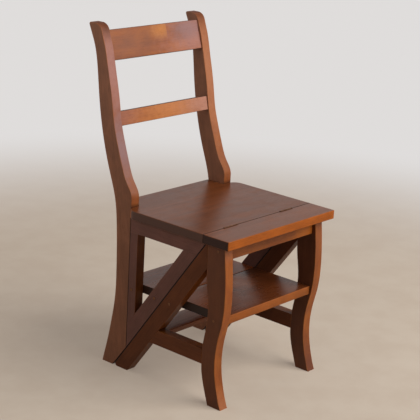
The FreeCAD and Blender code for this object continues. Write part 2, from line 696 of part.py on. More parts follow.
def build():
    """All pieces of the chair by name."""
    leg = front_leg()
    post = back_post()
    stringer = lower_stringer()
    pairs = {
        "front_leg": leg,
        "lower_stringer": stringer,
        "side_stretcher": side_stretcher(leg, stringer),
        "back_post": post,
        "side_rail": side_rail(),
        "inner_post": inner_post(),
        "upper_stringer": upper_stringer(),
    }
    parts = {
        "front_seat_board": front_seat_board(),
        "front_apron": front_apron(),
        "front_shelf": front_shelf(),
        "lower_tread": lower_tread(),
        "main_seat_board": main_seat_board(post),
        "rear_shelf": rear_shelf(),
        "rear_seat_rail": rear_seat_rail(),
        "crest_rail": tenoned_rail(CREST_BOTTOM, CREST_TOP, CREST_THICKNESS),
        "back_rail": tenoned_rail(BACK_RAIL_BOTTOM, BACK_RAIL_TOP, BACK_RAIL_THICKNESS),
        "front_pegs": both_sides([peg(place) for place in FRONT_PEGS]),
        "rear_pegs": both_sides([peg(place) for place in REAR_PEGS]),
        "front_loose_tenons": both_sides([tread_tenon(), leg_tenon(), leg_top_tenon(),
                                          apron_end_tenon(), apron_top_tenon()]),
        "rear_loose_tenons": both_sides(post_tenons() + rail_tenons() + rail_top_tenons()
                                        + [seat_rail_top_tenon()]),
    }
    for name, solid in pairs.items():
        parts[name + "_left"] = solid
        parts[name + "_right"] = mirrored(solid)
    for name, x in (("left", -HINGE_CENTRE_X), ("right", HINGE_CENTRE_X)):
        parts["hinge_front_leaf_" + name] = moved(hinge_leaf(-1), x)
        parts["hinge_back_leaf_" + name] = moved(hinge_leaf(1), x)
        parts["hinge_pin_" + name] = moved(hinge_pin(), x)
    for name, side in (("hinge_front_screws", -1), ("hinge_back_screws", 1)):
        screws = [moved(screw, x) for screw in hinge_screws(side)
                  for x in (-HINGE_CENTRE_X, HINGE_CENTRE_X)]
        parts[name] = Part.makeCompound(screws)
    return parts


os.makedirs("parts", exist_ok=True)
for name, shape in build().items():
    shape.translate(ALONG_Y * (-CHAIR_DEPTH / 2))
    shape.exportStep("parts/" + name + ".step")
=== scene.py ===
import math

import bpy
import numpy as np
from mathutils import Matrix, Vector


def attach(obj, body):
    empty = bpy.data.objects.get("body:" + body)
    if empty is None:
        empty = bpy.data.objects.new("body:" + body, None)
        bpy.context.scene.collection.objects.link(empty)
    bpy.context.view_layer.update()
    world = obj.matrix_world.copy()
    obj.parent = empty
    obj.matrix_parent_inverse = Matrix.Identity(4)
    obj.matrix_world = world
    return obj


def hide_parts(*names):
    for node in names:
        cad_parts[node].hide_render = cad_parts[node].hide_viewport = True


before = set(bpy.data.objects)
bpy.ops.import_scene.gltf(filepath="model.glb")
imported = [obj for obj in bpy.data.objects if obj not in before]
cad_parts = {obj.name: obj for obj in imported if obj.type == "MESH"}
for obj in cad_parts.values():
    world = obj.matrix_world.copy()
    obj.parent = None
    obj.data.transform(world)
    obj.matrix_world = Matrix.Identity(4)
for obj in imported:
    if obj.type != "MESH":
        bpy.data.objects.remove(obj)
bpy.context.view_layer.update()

# Looks of the folding step chair: stained wooden members that follow the outlines of the pieces
# they dress, with softened rims, plus peg ends, seam hinges, a pale floor and soft window light.
# Outlines are in millimetres as (depth behind the seat's front edge, height), meshes in metres.

MM = 0.001

# Sizes shared by several members
HALF_DEPTH = 259.0
SEAT_TOP = 450.0
BOARD = 23.0
SEAT_UNDER = SEAT_TOP - BOARD
SEAT_REAR = 404.0
SEAT_HALF = 212.0
SEAT_CORNER = 27.0
SEAT_CORNER_POINTS = 12
SEAM = 82.0
SEAM_GAP = 1.0
FRAME_OUT = 194.0
FRAME_IN = 166.0
POST_FACE = 345.0
LEG_BACK = 79.0
RAIL_UNDER = 385.0
INNER_POST_FACE = 318.0
SPLIT_FOOT = 391.0
SPLIT_SLOPE = (SPLIT_FOOT - SEAM) / SEAT_UNDER
SPLIT_STRETCH = math.hypot(1.0, SPLIT_SLOPE)
SPLIT_ON_POST = (SPLIT_FOOT - POST_FACE) / SPLIT_SLOPE
FOOT_GAP = 2.6
STRETCHER = (105.5, 145.5)
SHELF = (218.5, 241.5)
TREAD = (122.5, 145.5)
TREAD_DEPTHS = (216.5, 292.0)
HINGE_X = 110.0
HINGE_HALF = 25.5
HINGE_HOUSING = 2.0

# Widths of the stringers, square to the split, and depths and heights of rails and shelves
LOWER_WIDTH = 43.0
UPPER_WIDTH = 39.0
APRON_DEPTHS = (34.0, 56.0)
APRON_UNDER = 386.0
REAR_RAIL_DEPTHS = (373.0, 393.0)
SHELF_DEPTHS = (27.0, 387.0)
NOTCH_CLEARANCE = 0.2

# Leaning rails: lower and upper corner of the front face, thickness, corner radius
CREST_RAIL = ((453.0, 809.5), (476.5, 884.0), 20.0, 1.5)
BACK_RAIL = ((417.8, 645.5), (426.6, 682.5), 18.0, 1.5)

# Corner radii of the outlines
POST_TOE_RADIUS = 8.0
POST_TIP_RADIUS = 5.2
STRINGER_HEEL_RADIUS = 6.0
STRINGER_TOE_RADIUS = 7.0
STRIP_CORNER = 3.0
RAIL_CORNER = 1.2
SHELF_CORNER = 2.2
SHELF_SPLIT_CORNER = 0.9
TREAD_CORNER = 1.8

# Rim radii: free arrises, those of the side frames and of the seat, hair-fine rims along glued
# joints, and the wider ones that make grooves along the seam, the split and the posts. Their sides
# carry painted shade in the gaps and dark joint lines along the posts.
# A rim has RIM_STEPS rings, and a narrow flat skirt on either side of it.
SOFT = 1.2
FRAME_SOFT = 0.9
SEAT_SOFT = 1.7
JOINT_SOFT = 0.25
GROOVE_SOFT = 0.9
RIM_STEPS = 5
RIM_SKIRT = 0.8

# Tolerances: points that count as one, the gap of the pair at a sharp corner, the cosine of
# the turn that makes a corner sharp, the longest mitre, and the angle of a sharp fold
SAME_POINT = 0.05
PAIR_GAP = 0.05
SHARP_TURN = 0.9
MITRE_LIMIT = 0.5
SHARP_FOLD = math.radians(32)

# Distance within which an outline point lies on a joint line, and one that is off every line
ON_LINE = 0.5
OFF_LINE = 9.0
SHELF_SPLIT_STRETCH = 2.2

# Shift of the wood coordinates from one piece to the next, in metres, and the numbers of the
# first side member, the first rail or shelf, and the first seat board
PIECE_SHIFT = (0.731, 0.377, 0.219)
SIDE_NUMBER = 1
CROSS_NUMBER = 30
SEAT_NUMBER = 50

# Peg ends: places as (depth, height), and the profile of radius and rise from rim to centre
FRONT_PEGS = [(48, 230), (198, 230), (46, 411)]
REAR_PEGS = [(251, 230), (334, 230)]
PEG_RADIUS = np.array([4.8, 4.8, 4.5, 4.1, 3.7, 2.6, 1.4, 0.5])
PEG_RISE = np.array([-1.0, 0.12, 0.30, 0.32, 0.22, 0.10, 0.07, 0.06])
PEG_SIDES = 32

# Curved edges of the legs and posts, and the directions in which they start and end
LEG_FRONT_CURVE = [(26.0, 427.0), (17.5, 345.0), (15.5, 285.0), (19.5, 234.0), (31.0, 180.0),
                   (36.5, 130.0), (33.5, 84.0), (25.0, 45.0), (9.5, 0.0)]
LEG_FRONT_ENDS = ((-0.12, -1), (-0.45, -1))
LEG_REAR_CURVE = [(53.0, 0.0), (70.0, 50.0), (79.0, 88.0), (80.5, 125.0), (78.5, 163.0),
                  (72.5, 198.0), (68.5, 235.0), (69.0, 268.0), (74.5, 305.0), (79.0, 345.0)]
LEG_REAR_ENDS = ((0.35, 1), (0, 1))
POST_REAR_CURVE = [(432.0, 0.0), (418.0, 56.0), (404.5, 120.0), (393.5, 190.0), (391.5, 280.0),
                   (396.0, 390.0), (405.0, 460.0), (431.0, 536.0), (460.0, 635.0), (475.5, 722.0),
                   (484.0, 790.0), (497.0, 848.0), (518.0, 895.5)]
POST_REAR_ENDS = ((-0.22, 1), (0.42, 1))
POST_FRONT_CURVE = [(459.0, 848.0), (446.0, 796.0), (434.0, 746.0), (424.5, 698.0), (415.5, 648.0),
                    (402.0, 604.0), (383.0, 550.0), (364.0, 510.0), (350.0, 490.0), (345.0, 472.0)]
POST_SCROLL = (496.0, 901.0)
SCROLL_RADIUS = 25.5
SCROLL_POINTS = 14
POST_LEAN = math.radians(18.5)

# Directions of the fibres, in frame axes
X_AXIS = (1, 0, 0)
Y_AXIS = (0, 1, 0)
Z_AXIS = (0, 0, 1)
LEG_FIBRES = (0, 0.04, 1)
POST_FIBRES = (0, 0.17, 1)
STRINGER_FIBRES = (0, -SPLIT_SLOPE, 1)


# Outlines
def smooth_curve(points, first, last, step=4.0):
    """Points along a cubic curve with a continuous second derivative through the given points.

    Each span is a Hermite cubic over its chord length; the inner slopes solve the usual
    tridiagonal system, and the end slopes are the given directions.
    """
    p = np.array(points, float)
    h = np.linalg.norm(np.diff(p, axis=0), axis=1)
    n = len(p)
    a = np.zeros((n, n))
    b = np.zeros((n, 2))
    a[0, 0] = a[-1, -1] = 1.0
    b[0] = np.array(first, float) / np.hypot(*first)
    b[-1] = np.array(last, float) / np.hypot(*last)
    for i in range(1, n - 1):
        a[i, i - 1:i + 2] = (h[i], 2 * (h[i - 1] + h[i]), h[i - 1])
        b[i] = 3 * (h[i] * (p[i] - p[i - 1]) / h[i - 1] + h[i - 1] * (p[i + 1] - p[i]) / h[i])
    m = np.linalg.solve(a, b)
    out = []
    for i in range(n - 1):
        t = np.linspace(0, 1, max(3, int(h[i] / step)) + 1)[:-1, None]
        out.append((2 * t**3 - 3 * t**2 + 1) * p[i] + (t**3 - 2 * t**2 + t) * h[i] * m[i]
                   + (3 * t**2 - 2 * t**3) * p[i + 1] + (t**3 - t**2) * h[i] * m[i + 1])
    return np.vstack(out + [p[-1:]])


def line(first, last, step=12.0):
    """Evenly spaced points on a straight line, ends included."""
    first, last = np.array(first, float), np.array(last, float)
    count = max(2, int(np.hypot(*(last - first)) / step) + 1)
    return first + (last - first) * np.linspace(0, 1, count)[:, None]


def corner(before, tip, after, radius, count=7):
    """Arc of the given radius that rounds the corner at tip between its two neighbours."""
    tip = np.array(tip, float)
    a = np.array(before, float) - tip
    b = np.array(after, float) - tip
    a, b = a / np.hypot(*a), b / np.hypot(*b)
    half = math.acos(np.clip(a @ b, -1, 1)) / 2
    middle = tip + (a + b) / np.hypot(*(a + b)) * radius / math.sin(half)
    start = tip + a * radius / math.tan(half) - middle
    end = tip + b * radius / math.tan(half) - middle
    sweep = math.atan2(start[0] * end[1] - start[1] * end[0], start @ end)
    t = np.linspace(0, sweep, count)[:, None]
    turned = np.hstack([start[0] * np.cos(t) - start[1] * np.sin(t),
                        start[0] * np.sin(t) + start[1] * np.cos(t)])
    return middle + turned


def closed(*parts):
    """One closed anticlockwise outline from consecutive runs of points, with repeats dropped."""
    points = np.vstack([np.atleast_2d(part) for part in parts])
    keep = [0]
    for i in range(1, len(points)):
        if np.hypot(*(points[i] - points[keep[-1]])) > SAME_POINT:
            keep.append(i)
    if np.hypot(*(points[keep[-1]] - points[0])) < SAME_POINT:
        keep.pop()
    points = points[keep]
    x, y = points.T
    area = np.sum(x * np.roll(y, -1) - y * np.roll(x, -1))
    return points if area > 0 else points[::-1]


def rounded_polygon(corners, radii):
    """Closed outline whose straight sides are joined by corner arcs."""
    n = len(corners)
    parts = []
    for i in range(n):
        before, tip, after = corners[i - 1], corners[i], corners[(i + 1) % n]
        if radii[i] > 0:
            parts.append(corner(before, tip, after, radii[i]))
        else:
            parts.append(np.array([tip], float))
    full = []
    for i in range(n):
        full += [parts[i], line(parts[i][-1], parts[(i + 1) % n][0])]
    return closed(*full)


def split(height, side):
    """Point on the sloping split, on the front piece's face (side -1) or the back piece's (1)."""
    gap = FOOT_GAP - (FOOT_GAP - SEAM_GAP) * height / SEAT_UNDER
    return (SEAM + (SEAT_UNDER - height) * SPLIT_SLOPE + side * gap / 2, height)


def lower_edge(height):
    """Point on the lower stringer's front edge, one width before the split."""
    return (split(height, 0)[0] - LOWER_WIDTH * SPLIT_STRETCH, height)


def upper_edge(height):
    """Point on the upper stringer's rear edge, one width behind the split."""
    return (split(height, 0)[0] + UPPER_WIDTH * SPLIT_STRETCH, height)


def upper_edge_height(depth):
    """Height at which the upper stringer's rear edge reaches a depth."""
    return SEAT_UNDER - (depth - upper_edge(SEAT_UNDER)[0]) / SPLIT_SLOPE


def leg_outline():
    """Front leg: two curves, joined by straight runs along the floor and under the seat."""
    front = smooth_curve(LEG_FRONT_CURVE, *LEG_FRONT_ENDS)
    rear = smooth_curve(LEG_REAR_CURVE, *LEG_REAR_ENDS)
    head = (LEG_BACK, SEAT_UNDER)
    return closed(front, line(front[-1], rear[0]), rear, line(rear[-1], head), line(head, front[0]))


def post_outline():
    """Back post, from the floor up its rear curve, over the top and down its front curve.

    The scroll is an arc round a point one radius below the top: from straight above that point,
    forward and down, to the post's lean. Below the front curve come the straight face that meets
    the side frame and the sloping split. Small arcs round off the tip and the toe.
    """
    toe = split(0, 1)
    heel = (POST_FACE, SPLIT_ON_POST)
    rear = smooth_curve(POST_REAR_CURVE, *POST_REAR_ENDS)
    angles = np.linspace(math.pi / 2, POST_LEAN, SCROLL_POINTS)
    scroll = np.stack([POST_SCROLL[0] - SCROLL_RADIUS * np.cos(angles),
                       POST_SCROLL[1] - SCROLL_RADIUS * (1 - np.sin(angles))], 1)
    lean = (-math.sin(POST_LEAN), -math.cos(POST_LEAN))
    front = smooth_curve([tuple(scroll[-1])] + POST_FRONT_CURVE, lean, (0, -1))
    top = corner(rear[-1], (rear[-1][0], POST_SCROLL[1]), POST_SCROLL, POST_TIP_RADIUS)
    toe_arc = corner(heel, toe, rear[0], POST_TOE_RADIUS)
    return closed(toe_arc, rear, top, scroll, front, line(front[-1], heel), line(heel, toe_arc[0]))


def lower_stringer_outline():
    """Lower stringer: a strip of one width before the split, cut off at the leg, seat and floor."""
    top_height = SEAT_UNDER - (LEG_BACK - lower_edge(SEAT_UNDER)[0]) / SPLIT_SLOPE
    corners = [(LEG_BACK, SEAT_UNDER), (LEG_BACK, top_height), lower_edge(0), split(0, -1),
               split(SEAT_UNDER, -1)]
    return rounded_polygon(corners, (0, 0, STRINGER_HEEL_RADIUS, STRINGER_TOE_RADIUS, 0))


def upper_stringer_outline():
    """Upper stringer: a strip of one width behind the split, cut off at the rail and the post."""
    corners = [split(RAIL_UNDER, 1), (POST_FACE, SPLIT_ON_POST),
               (POST_FACE, upper_edge_height(POST_FACE)),
               (INNER_POST_FACE, upper_edge_height(INNER_POST_FACE)), upper_edge(RAIL_UNDER)]
    return rounded_polygon(corners, (0,) * 5)


def side_rail_outline():
    """Side rail: from the split to the post, between the seat and the rail's underside."""
    corners = [split(SEAT_UNDER, 1), split(RAIL_UNDER, 1), upper_edge(RAIL_UNDER),
               (INNER_POST_FACE, RAIL_UNDER), (POST_FACE, RAIL_UNDER), (POST_FACE, SEAT_UNDER)]
    return rounded_polygon(corners, (0,) * 6)


def inner_post_outline():
    """Inner post: upright before the back post, from the stringer's edge to the side rail."""
    corners = [(INNER_POST_FACE, RAIL_UNDER), (INNER_POST_FACE, upper_edge_height(INNER_POST_FACE)),
               (POST_FACE, upper_edge_height(POST_FACE)), (POST_FACE, RAIL_UNDER)]
    return rounded_polygon(corners, (0,) * 4)


def stretcher_outline():
    """Side stretcher: its front follows the leg's rear curve, its rear the lower stringer."""
    low, high = STRETCHER
    leg = smooth_curve(LEG_REAR_CURVE, *LEG_REAR_ENDS, step=2.0)
    between = leg[(leg[:, 1] > low) & (leg[:, 1] < high)]
    ends = [(np.interp(height, leg[:, 1], leg[:, 0]), height) for height in STRETCHER]
    front = np.vstack([ends[0], between, ends[1]])
    return closed(front, line(front[-1], lower_edge(high)),
                  line(lower_edge(high), lower_edge(low)), line(lower_edge(low), front[0]))


def leaning(bottom, top, thickness, radius):
    """Section of a cross rail that leans back, with its four corners softened."""
    bottom, top = np.array(bottom), np.array(top)
    up = (top - bottom) / np.hypot(*(top - bottom))
    back = np.array((up[1], -up[0])) * thickness
    return rounded_polygon([bottom, bottom + back, top + back, top], (radius,) * 4)


def seam_side(direction):
    """Seam edge of a seat board in plan, with the two shallow hinge housings."""
    edge = SEAM + direction * SEAM_GAP / 2
    deep = SEAM + direction * HINGE_HOUSING
    run = [(-SEAT_HALF, edge)]
    for x in (-HINGE_X, HINGE_X):
        run += [(x - HINGE_HALF, edge), (x - HINGE_HALF, deep), (x + HINGE_HALF, deep),
                (x + HINGE_HALF, edge)]
    return np.array(run + [(SEAT_HALF, edge)])


def front_board_outline():
    """Front strip of the seat in plan: two rounded front corners, and the seam side behind."""
    left = corner((-SEAT_HALF, SEAM), (-SEAT_HALF, 0), (0, 0), STRIP_CORNER)
    right = corner((0, 0), (SEAT_HALF, 0), (SEAT_HALF, SEAM), STRIP_CORNER)
    seam = seam_side(-1)[::-1]
    return closed(left, line(left[-1], right[0]), right, line(right[-1], seam[0]), seam,
                  line(seam[-1], left[0]))


def main_board_outline():
    """Main seat board in plan: a tongue at the back reaches between the posts."""
    notch, face = FRAME_IN - NOTCH_CLEARANCE, POST_FACE - NOTCH_CLEARANCE
    seam = seam_side(1)
    right = corner((SEAT_HALF, SEAM), (SEAT_HALF, face), (0, face), SEAT_CORNER,
                   SEAT_CORNER_POINTS)
    left = corner((0, face), (-SEAT_HALF, face), (-SEAT_HALF, SEAM), SEAT_CORNER,
                  SEAT_CORNER_POINTS)
    corners = [(notch, face), (notch, SEAT_REAR), (-notch, SEAT_REAR), (-notch, face)]
    tongue = [line(first, last) for first, last in zip(corners, corners[1:])]
    return closed(seam, line(seam[-1], right[0]), right, line(right[-1], corners[0]), *tongue,
                  line(corners[-1], left[0]), left, line(left[-1], seam[0]))


# Joint and groove lines, as signed distances from outline points
def at_depth(depth):
    """Distance from an upright line."""
    return lambda points: points[:, 0] - depth


def at_height(height):
    """Distance from a level line."""
    return lambda points: points[:, 1] - height


def on_upper_edge(points):
    """Distance from the stretch of the upper stringer's edge that the inner post stands on."""
    away = points[:, 0] - upper_edge(points[:, 1])[0]
    return np.where(points[:, 0] > INNER_POST_FACE + ON_LINE, away, OFF_LINE)


def under_side_rail(points):
    """Distance from the two stretches of the side rail's underside that carry joints."""
    behind_stringer = points[:, 0] > upper_edge(RAIL_UNDER)[0] + ON_LINE
    before_inner_post = points[:, 0] < INNER_POST_FACE - ON_LINE
    free = behind_stringer & before_inner_post
    return np.where(free, OFF_LINE, points[:, 1] - RAIL_UNDER)


def seam_line(points):
    """No distance along the seam and in the hinge housings, and off every line elsewhere."""
    return np.where(np.abs(points[:, 1] - SEAM) < HINGE_HOUSING + ON_LINE, 0.0, OFF_LINE)


def split_line(points):
    """Distance from the sloping split, measured level."""
    return points[:, 0] - split(points[:, 1], 0)[0]


def shelf_split(points):
    """Distance from the split, stretched so that only the split faces of the shelves are near."""
    return SHELF_SPLIT_STRETCH * split_line(points)


def post_line(points):
    """Distance from the face between post and side frame, off every line above the seat."""
    return np.where(points[:, 1] < SEAT_TOP, points[:, 0] - POST_FACE, OFF_LINE)


def rim_radii(points, soft, joints=(), grooves=()):
    """Rim radius at each outline point, and 1 where the rim is a groove side with painted shade."""
    radii = np.full(len(points), soft)
    gap_shade_and_joint = np.zeros(len(points))
    for joint in joints:
        radii[np.abs(joint(points)) < ON_LINE] = JOINT_SOFT
    for line_of_groove in grooves:
        chosen = np.abs(line_of_groove(points)) < FOOT_GAP
        radii[chosen] = GROOVE_SOFT
        gap_shade_and_joint[chosen] = 1.0
    return radii, gap_shade_and_joint


# Meshes
def rim_frame(points):
    """Place, inward mitre and outward facing of every point of an anticlockwise outline.

    A sharp corner becomes a close pair, one facing each way. The last two arrays tell which
    outline point each one comes from, and -1 or 1 for the two of a pair.
    """
    before = points - np.roll(points, 1, 0)
    after = np.roll(points, -1, 0) - points
    before /= np.linalg.norm(before, axis=1)[:, None]
    after /= np.linalg.norm(after, axis=1)[:, None]
    n1 = np.stack([-before[:, 1], before[:, 0]], 1)
    n2 = np.stack([-after[:, 1], after[:, 0]], 1)
    middle = n1 + n2
    middle /= np.maximum(np.linalg.norm(middle, axis=1), 1e-6)[:, None]
    mitre = middle / np.clip((middle * n1).sum(1), MITRE_LIMIT, 1)[:, None]
    sharp = (before * after).sum(1) < SHARP_TURN
    source = np.repeat(np.arange(len(points)), 1 + sharp)
    second = np.concatenate([[False], source[1:] == source[:-1]])[:, None]
    first = sharp[source][:, None] & ~second
    places = points[source] + PAIR_GAP * (second * after[source] - first * before[source])
    facing = -np.where(first, n1[source], np.where(second, n2[source], middle[source]))
    turn = (second.astype(int) - first).ravel()
    return places, mitre[source], facing, source, turn


def ring_faces(n, rings):
    """Four-cornered faces between closed rings of n points, which are numbered ring by ring."""
    u, v = np.meshgrid(np.arange(n), np.arange(rings - 1))
    a, b = v * n + u, v * n + (u + 1) % n
    return np.stack([a, b, b + n, a + n], -1).reshape(-1, 4)


def slab(name, outline, low, high, place, rims, along, across, number):
    """Plank with softened rims: u runs round the outline and v across the rings from low to high.

    Ring v of a rim is the outline drawn in by radius times (1 - sine of the turn) and set at
    low plus radius times (1 - cosine), so each rim is a quarter circle; one flat face closes
    each side. place turns (first, second, level) into frame axes. Stored on the points are the
    wood coordinates (along the fibres, across, through, shifted by the piece's number), how much
    the surface faces along the fibres, how much it faces across them, and the masks of the
    rounded rims and of the grooves, whose sides carry painted shade in the gaps and dark joint
    lines. rims holds the radius and the gap shade mark of each point.
    """
    radii, gap_shade_and_joint = rims
    outline, offset, outward, source, turn = rim_frame(outline)
    gap_shade_and_joint = np.minimum(gap_shade_and_joint[source], gap_shade_and_joint[(source + turn) % len(gap_shade_and_joint)])
    radii = radii[source]
    n = len(outline)
    turns = np.concatenate([[0.0], np.linspace(0, math.pi / 2, RIM_STEPS), [math.pi / 2]])
    skirts = np.array([1.0] + [0.0] * RIM_STEPS + [1.0]) * RIM_SKIRT
    inset = radii * (1 - np.sin(turns))[:, None] + np.where(turns == 0, skirts, 0)[:, None]
    rise = radii * (1 - np.cos(turns))[:, None] + np.where(turns > 0, skirts, 0)[:, None]
    rounded = np.where(skirts > 0, 0.0, 1.0)[:, None]
    rim = rounded * ((radii > JOINT_SOFT) & (gap_shade_and_joint == 0))
    # sides of the grooves: painted shade in the gaps, and dark joint lines along the posts
    dark = np.maximum(rounded, turns[:, None] > 1) * gap_shade_and_joint
    low_side = np.dstack([outline + offset * inset[..., None], low + rise])
    high_side = np.dstack([outline + offset * inset[..., None], high - rise])[::-1]
    side_facing = outward[None] * np.sin(turns)[:, None, None]
    level_facing = np.broadcast_to(np.cos(turns)[:, None], rise.shape)
    low_facing = np.dstack([side_facing, -level_facing])
    high_facing = np.dstack([side_facing, level_facing])[::-1]
    rings = 2 * len(turns)
    points = place(np.vstack([low_side, high_side]).reshape(-1, 3))
    facing = place(np.vstack([low_facing, high_facing]).reshape(-1, 3)) - place(np.zeros((1, 3)))
    faces = ring_faces(n, rings).tolist()
    faces += [list(range(n))[::-1], list(range((rings - 1) * n, rings * n))]
    if np.linalg.det(place(np.eye(3)) - place(np.zeros((3, 3)))) < 0:
        faces = [face[::-1] for face in faces]
    along = np.array(along, float) / np.linalg.norm(along)
    across = np.array(across, float) - along * (np.array(across, float) @ along)
    across /= np.linalg.norm(across)
    axes = np.stack([along, across, np.cross(along, across)], 1)
    shift = np.array(PIECE_SHIFT) * number
    masks = {"edge": np.vstack([rim, rim[::-1]]).ravel(),
             "gap_shade_and_joint": np.vstack([dark, dark[::-1]]).ravel(),
             "end_grain": np.abs(facing @ along), "side_grain": np.abs(facing @ across)}
    return mesh_piece(name, points * MM, faces, masks, points * MM @ axes + shift)


def in_scene(name, data):
    """New object of the scene, at the origin, with the given data."""
    made = bpy.data.objects.new(name, data)
    bpy.context.scene.collection.objects.link(made)
    return made


def mesh_piece(name, points, faces, masks, fibre=None):
    """Smooth-shaded object at the origin, with masks and wood coordinates stored on its points."""
    mesh = bpy.data.meshes.new(name)
    mesh.from_pydata(points.tolist(), [], faces)
    mesh.polygons.foreach_set("use_smooth", np.ones(len(mesh.polygons), bool))
    mesh.set_sharp_from_angle(angle=SHARP_FOLD)
    for key, values in masks.items():
        made = mesh.attributes.new(key, "FLOAT", "POINT")
        made.data.foreach_set("value", np.asarray(values, np.float32))
    if fibre is not None:
        made = mesh.attributes.new("fibre", "FLOAT_VECTOR", "POINT")
        made.data.foreach_set("vector", fibre.astype(np.float32).ravel())
    return in_scene(name, mesh)


def upright(points):
    """(depth, height, across) to frame axes, for members seen from the side."""
    return np.column_stack([points[:, 2], points[:, 0] - HALF_DEPTH, points[:, 1]])


def level(points):
    """(across, depth, height) to frame axes, for boards seen from above."""
    return np.column_stack([points[:, 0], points[:, 1] - HALF_DEPTH, points[:, 2]])


# Helpers for the node trees of the finishes
def feed(tree, target, sources):
    """Feeds inputs of a node, named or numbered: links an output, or sets a plain value."""
    for label, source in sources.items():
        if hasattr(source, "is_output"):
            tree.links.new(source, target.inputs[label])
        else:
            target.inputs[label].default_value = source


def node(tree, kind, sources=(), **settings):
    """New node of a kind, with its settings and with what feeds its inputs."""
    made = tree.nodes.new(kind)
    for key, value in settings.items():
        setattr(made, key, value)
    feed(tree, made, dict(sources))
    return made


def maths(tree, operation, a, b=0.0):
    """Result of an operation on two values."""
    return node(tree, "ShaderNodeMath", {0: a, 1: b}, operation=operation).outputs[0]


def times(tree, a, b):
    """Product of two values."""
    return maths(tree, "MULTIPLY", a, b)


def plus(tree, a, b):
    """Sum of two values."""
    return maths(tree, "ADD", a, b)


def vector_maths(tree, operation, a, b=(0.0, 0.0, 0.0)):
    """Result of an operation on two vectors: a vector, or the length of the first one."""
    made = node(tree, "ShaderNodeVectorMath", {0: a, 1: b}, operation=operation)
    return made.outputs["Value" if operation == "LENGTH" else "Vector"]


def axis_part(tree, vector, axis):
    """Part of a vector along one of the axes."""
    return node(tree, "ShaderNodeSeparateXYZ", {0: vector}).outputs[axis]


def object_place(tree):
    """Place on the piece at rest, in metres."""
    return node(tree, "ShaderNodeTexCoord").outputs["Object"]


def noise(tree, vector, scale, detail=3.0, roughness=0.55, distortion=0.0):
    """Smooth random value that changes from place to place, about 0.5 on average."""
    sources = {"Vector": vector, "Scale": scale, "Detail": detail, "Roughness": roughness,
               "Distortion": distortion}
    return node(tree, "ShaderNodeTexNoise", sources).outputs["Fac"]


def span(tree, value, low, high, to_low=0.0, to_high=1.0):
    """Smooth step of a value between two levels."""
    sources = {"Value": value, "From Min": low, "From Max": high, "To Min": to_low,
               "To Max": to_high}
    made = node(tree, "ShaderNodeMapRange", sources, interpolation_type="SMOOTHSTEP")
    return made.outputs["Result"]


def noise_mask(tree, place, stretch, detail, low, high):
    """Mask that rises between two levels of a noise, from its features per metre each way."""
    drawn = vector_maths(tree, "MULTIPLY", place, stretch)
    return span(tree, noise(tree, drawn, 1.0, detail), low, high)


def blend(tree, amount, a, b):
    """Mix of two colours, from a at no amount to b at the full one."""
    return node(tree, "ShaderNodeMix", {0: amount, 6: a, 7: b}, data_type="RGBA").outputs[2]


def attribute(tree, name, output="Fac"):
    """Mask or wood coordinates stored on the points of a piece."""
    return node(tree, "ShaderNodeAttribute", attribute_name=name).outputs[output]


def bump(tree, surface, height, strength, distance):
    """Fine relief: the surface takes the light as if it rose by height times distance."""
    sources = {"Strength": strength, "Distance": distance, "Height": height}
    made = node(tree, "ShaderNodeBump", sources)
    feed(tree, surface, {"Normal": made.outputs["Normal"]})


def show_mix(tree, output, share, first, second):
    """Shows a mix of two shaders, all the first at no share and all the second at the full one."""
    mix = node(tree, "ShaderNodeMixShader", {0: share, 1: first, 2: second})
    feed(tree, tree.nodes[output], {"Surface": mix.outputs[0]})


def group(name, inputs, outputs):
    """Empty shader group with the given sockets, and its input and output nodes."""
    tree = bpy.data.node_groups.new(name, "ShaderNodeTree")
    for label, kind in inputs:
        tree.interface.new_socket(label, in_out="INPUT", socket_type=kind)
    for label, kind in outputs:
        tree.interface.new_socket(label, in_out="OUTPUT", socket_type=kind)
    return tree, node(tree, "NodeGroupInput"), node(tree, "NodeGroupOutput")


def new_material(name):
    """Material, with its node tree and the shader of its surface."""
    material = bpy.data.materials.new(name)
    material.use_nodes = True
    return material, material.node_tree, material.node_tree.nodes["Principled BSDF"]


def darker(colour, share):
    """Colour at a share of its brightness."""
    return [channel * share for channel in colour[:3]] + [1.0]


# Stains of the wood: dark, light and warm colour of the grain. The shelf's stain is darkened as
# painted shade where the seat shades it. The rear shelf's and the tread's stains are lightened as
# painted light, in their shade under the seat.
FRAME_STAIN = ((0.190, 0.049, 0.011, 1), (0.340, 0.090, 0.017, 1), (0.470, 0.155, 0.026, 1))
SEAT_STAIN = ((0.080, 0.021, 0.005, 1), (0.152, 0.041, 0.010, 1), (0.220, 0.062, 0.014, 1))
STRIP_STAIN = ((0.112, 0.032, 0.010, 1), (0.205, 0.060, 0.019, 1), (0.270, 0.080, 0.022, 1))
SHELF_STAIN_PAINTED_SHADE = ((0.070, 0.018, 0.005, 1), (0.128, 0.034, 0.010, 1), (0.178, 0.050, 0.014, 1))
REAR_SHELF_STAIN_PAINTED_LIGHT = ((0.180, 0.042, 0.009, 1), (0.320, 0.078, 0.016, 1), (0.380, 0.100, 0.021, 1))
TREAD_STAIN_PAINTED_LIGHT = ((0.310, 0.115, 0.048, 1), (0.500, 0.195, 0.084, 1), (0.500, 0.195, 0.076, 1))

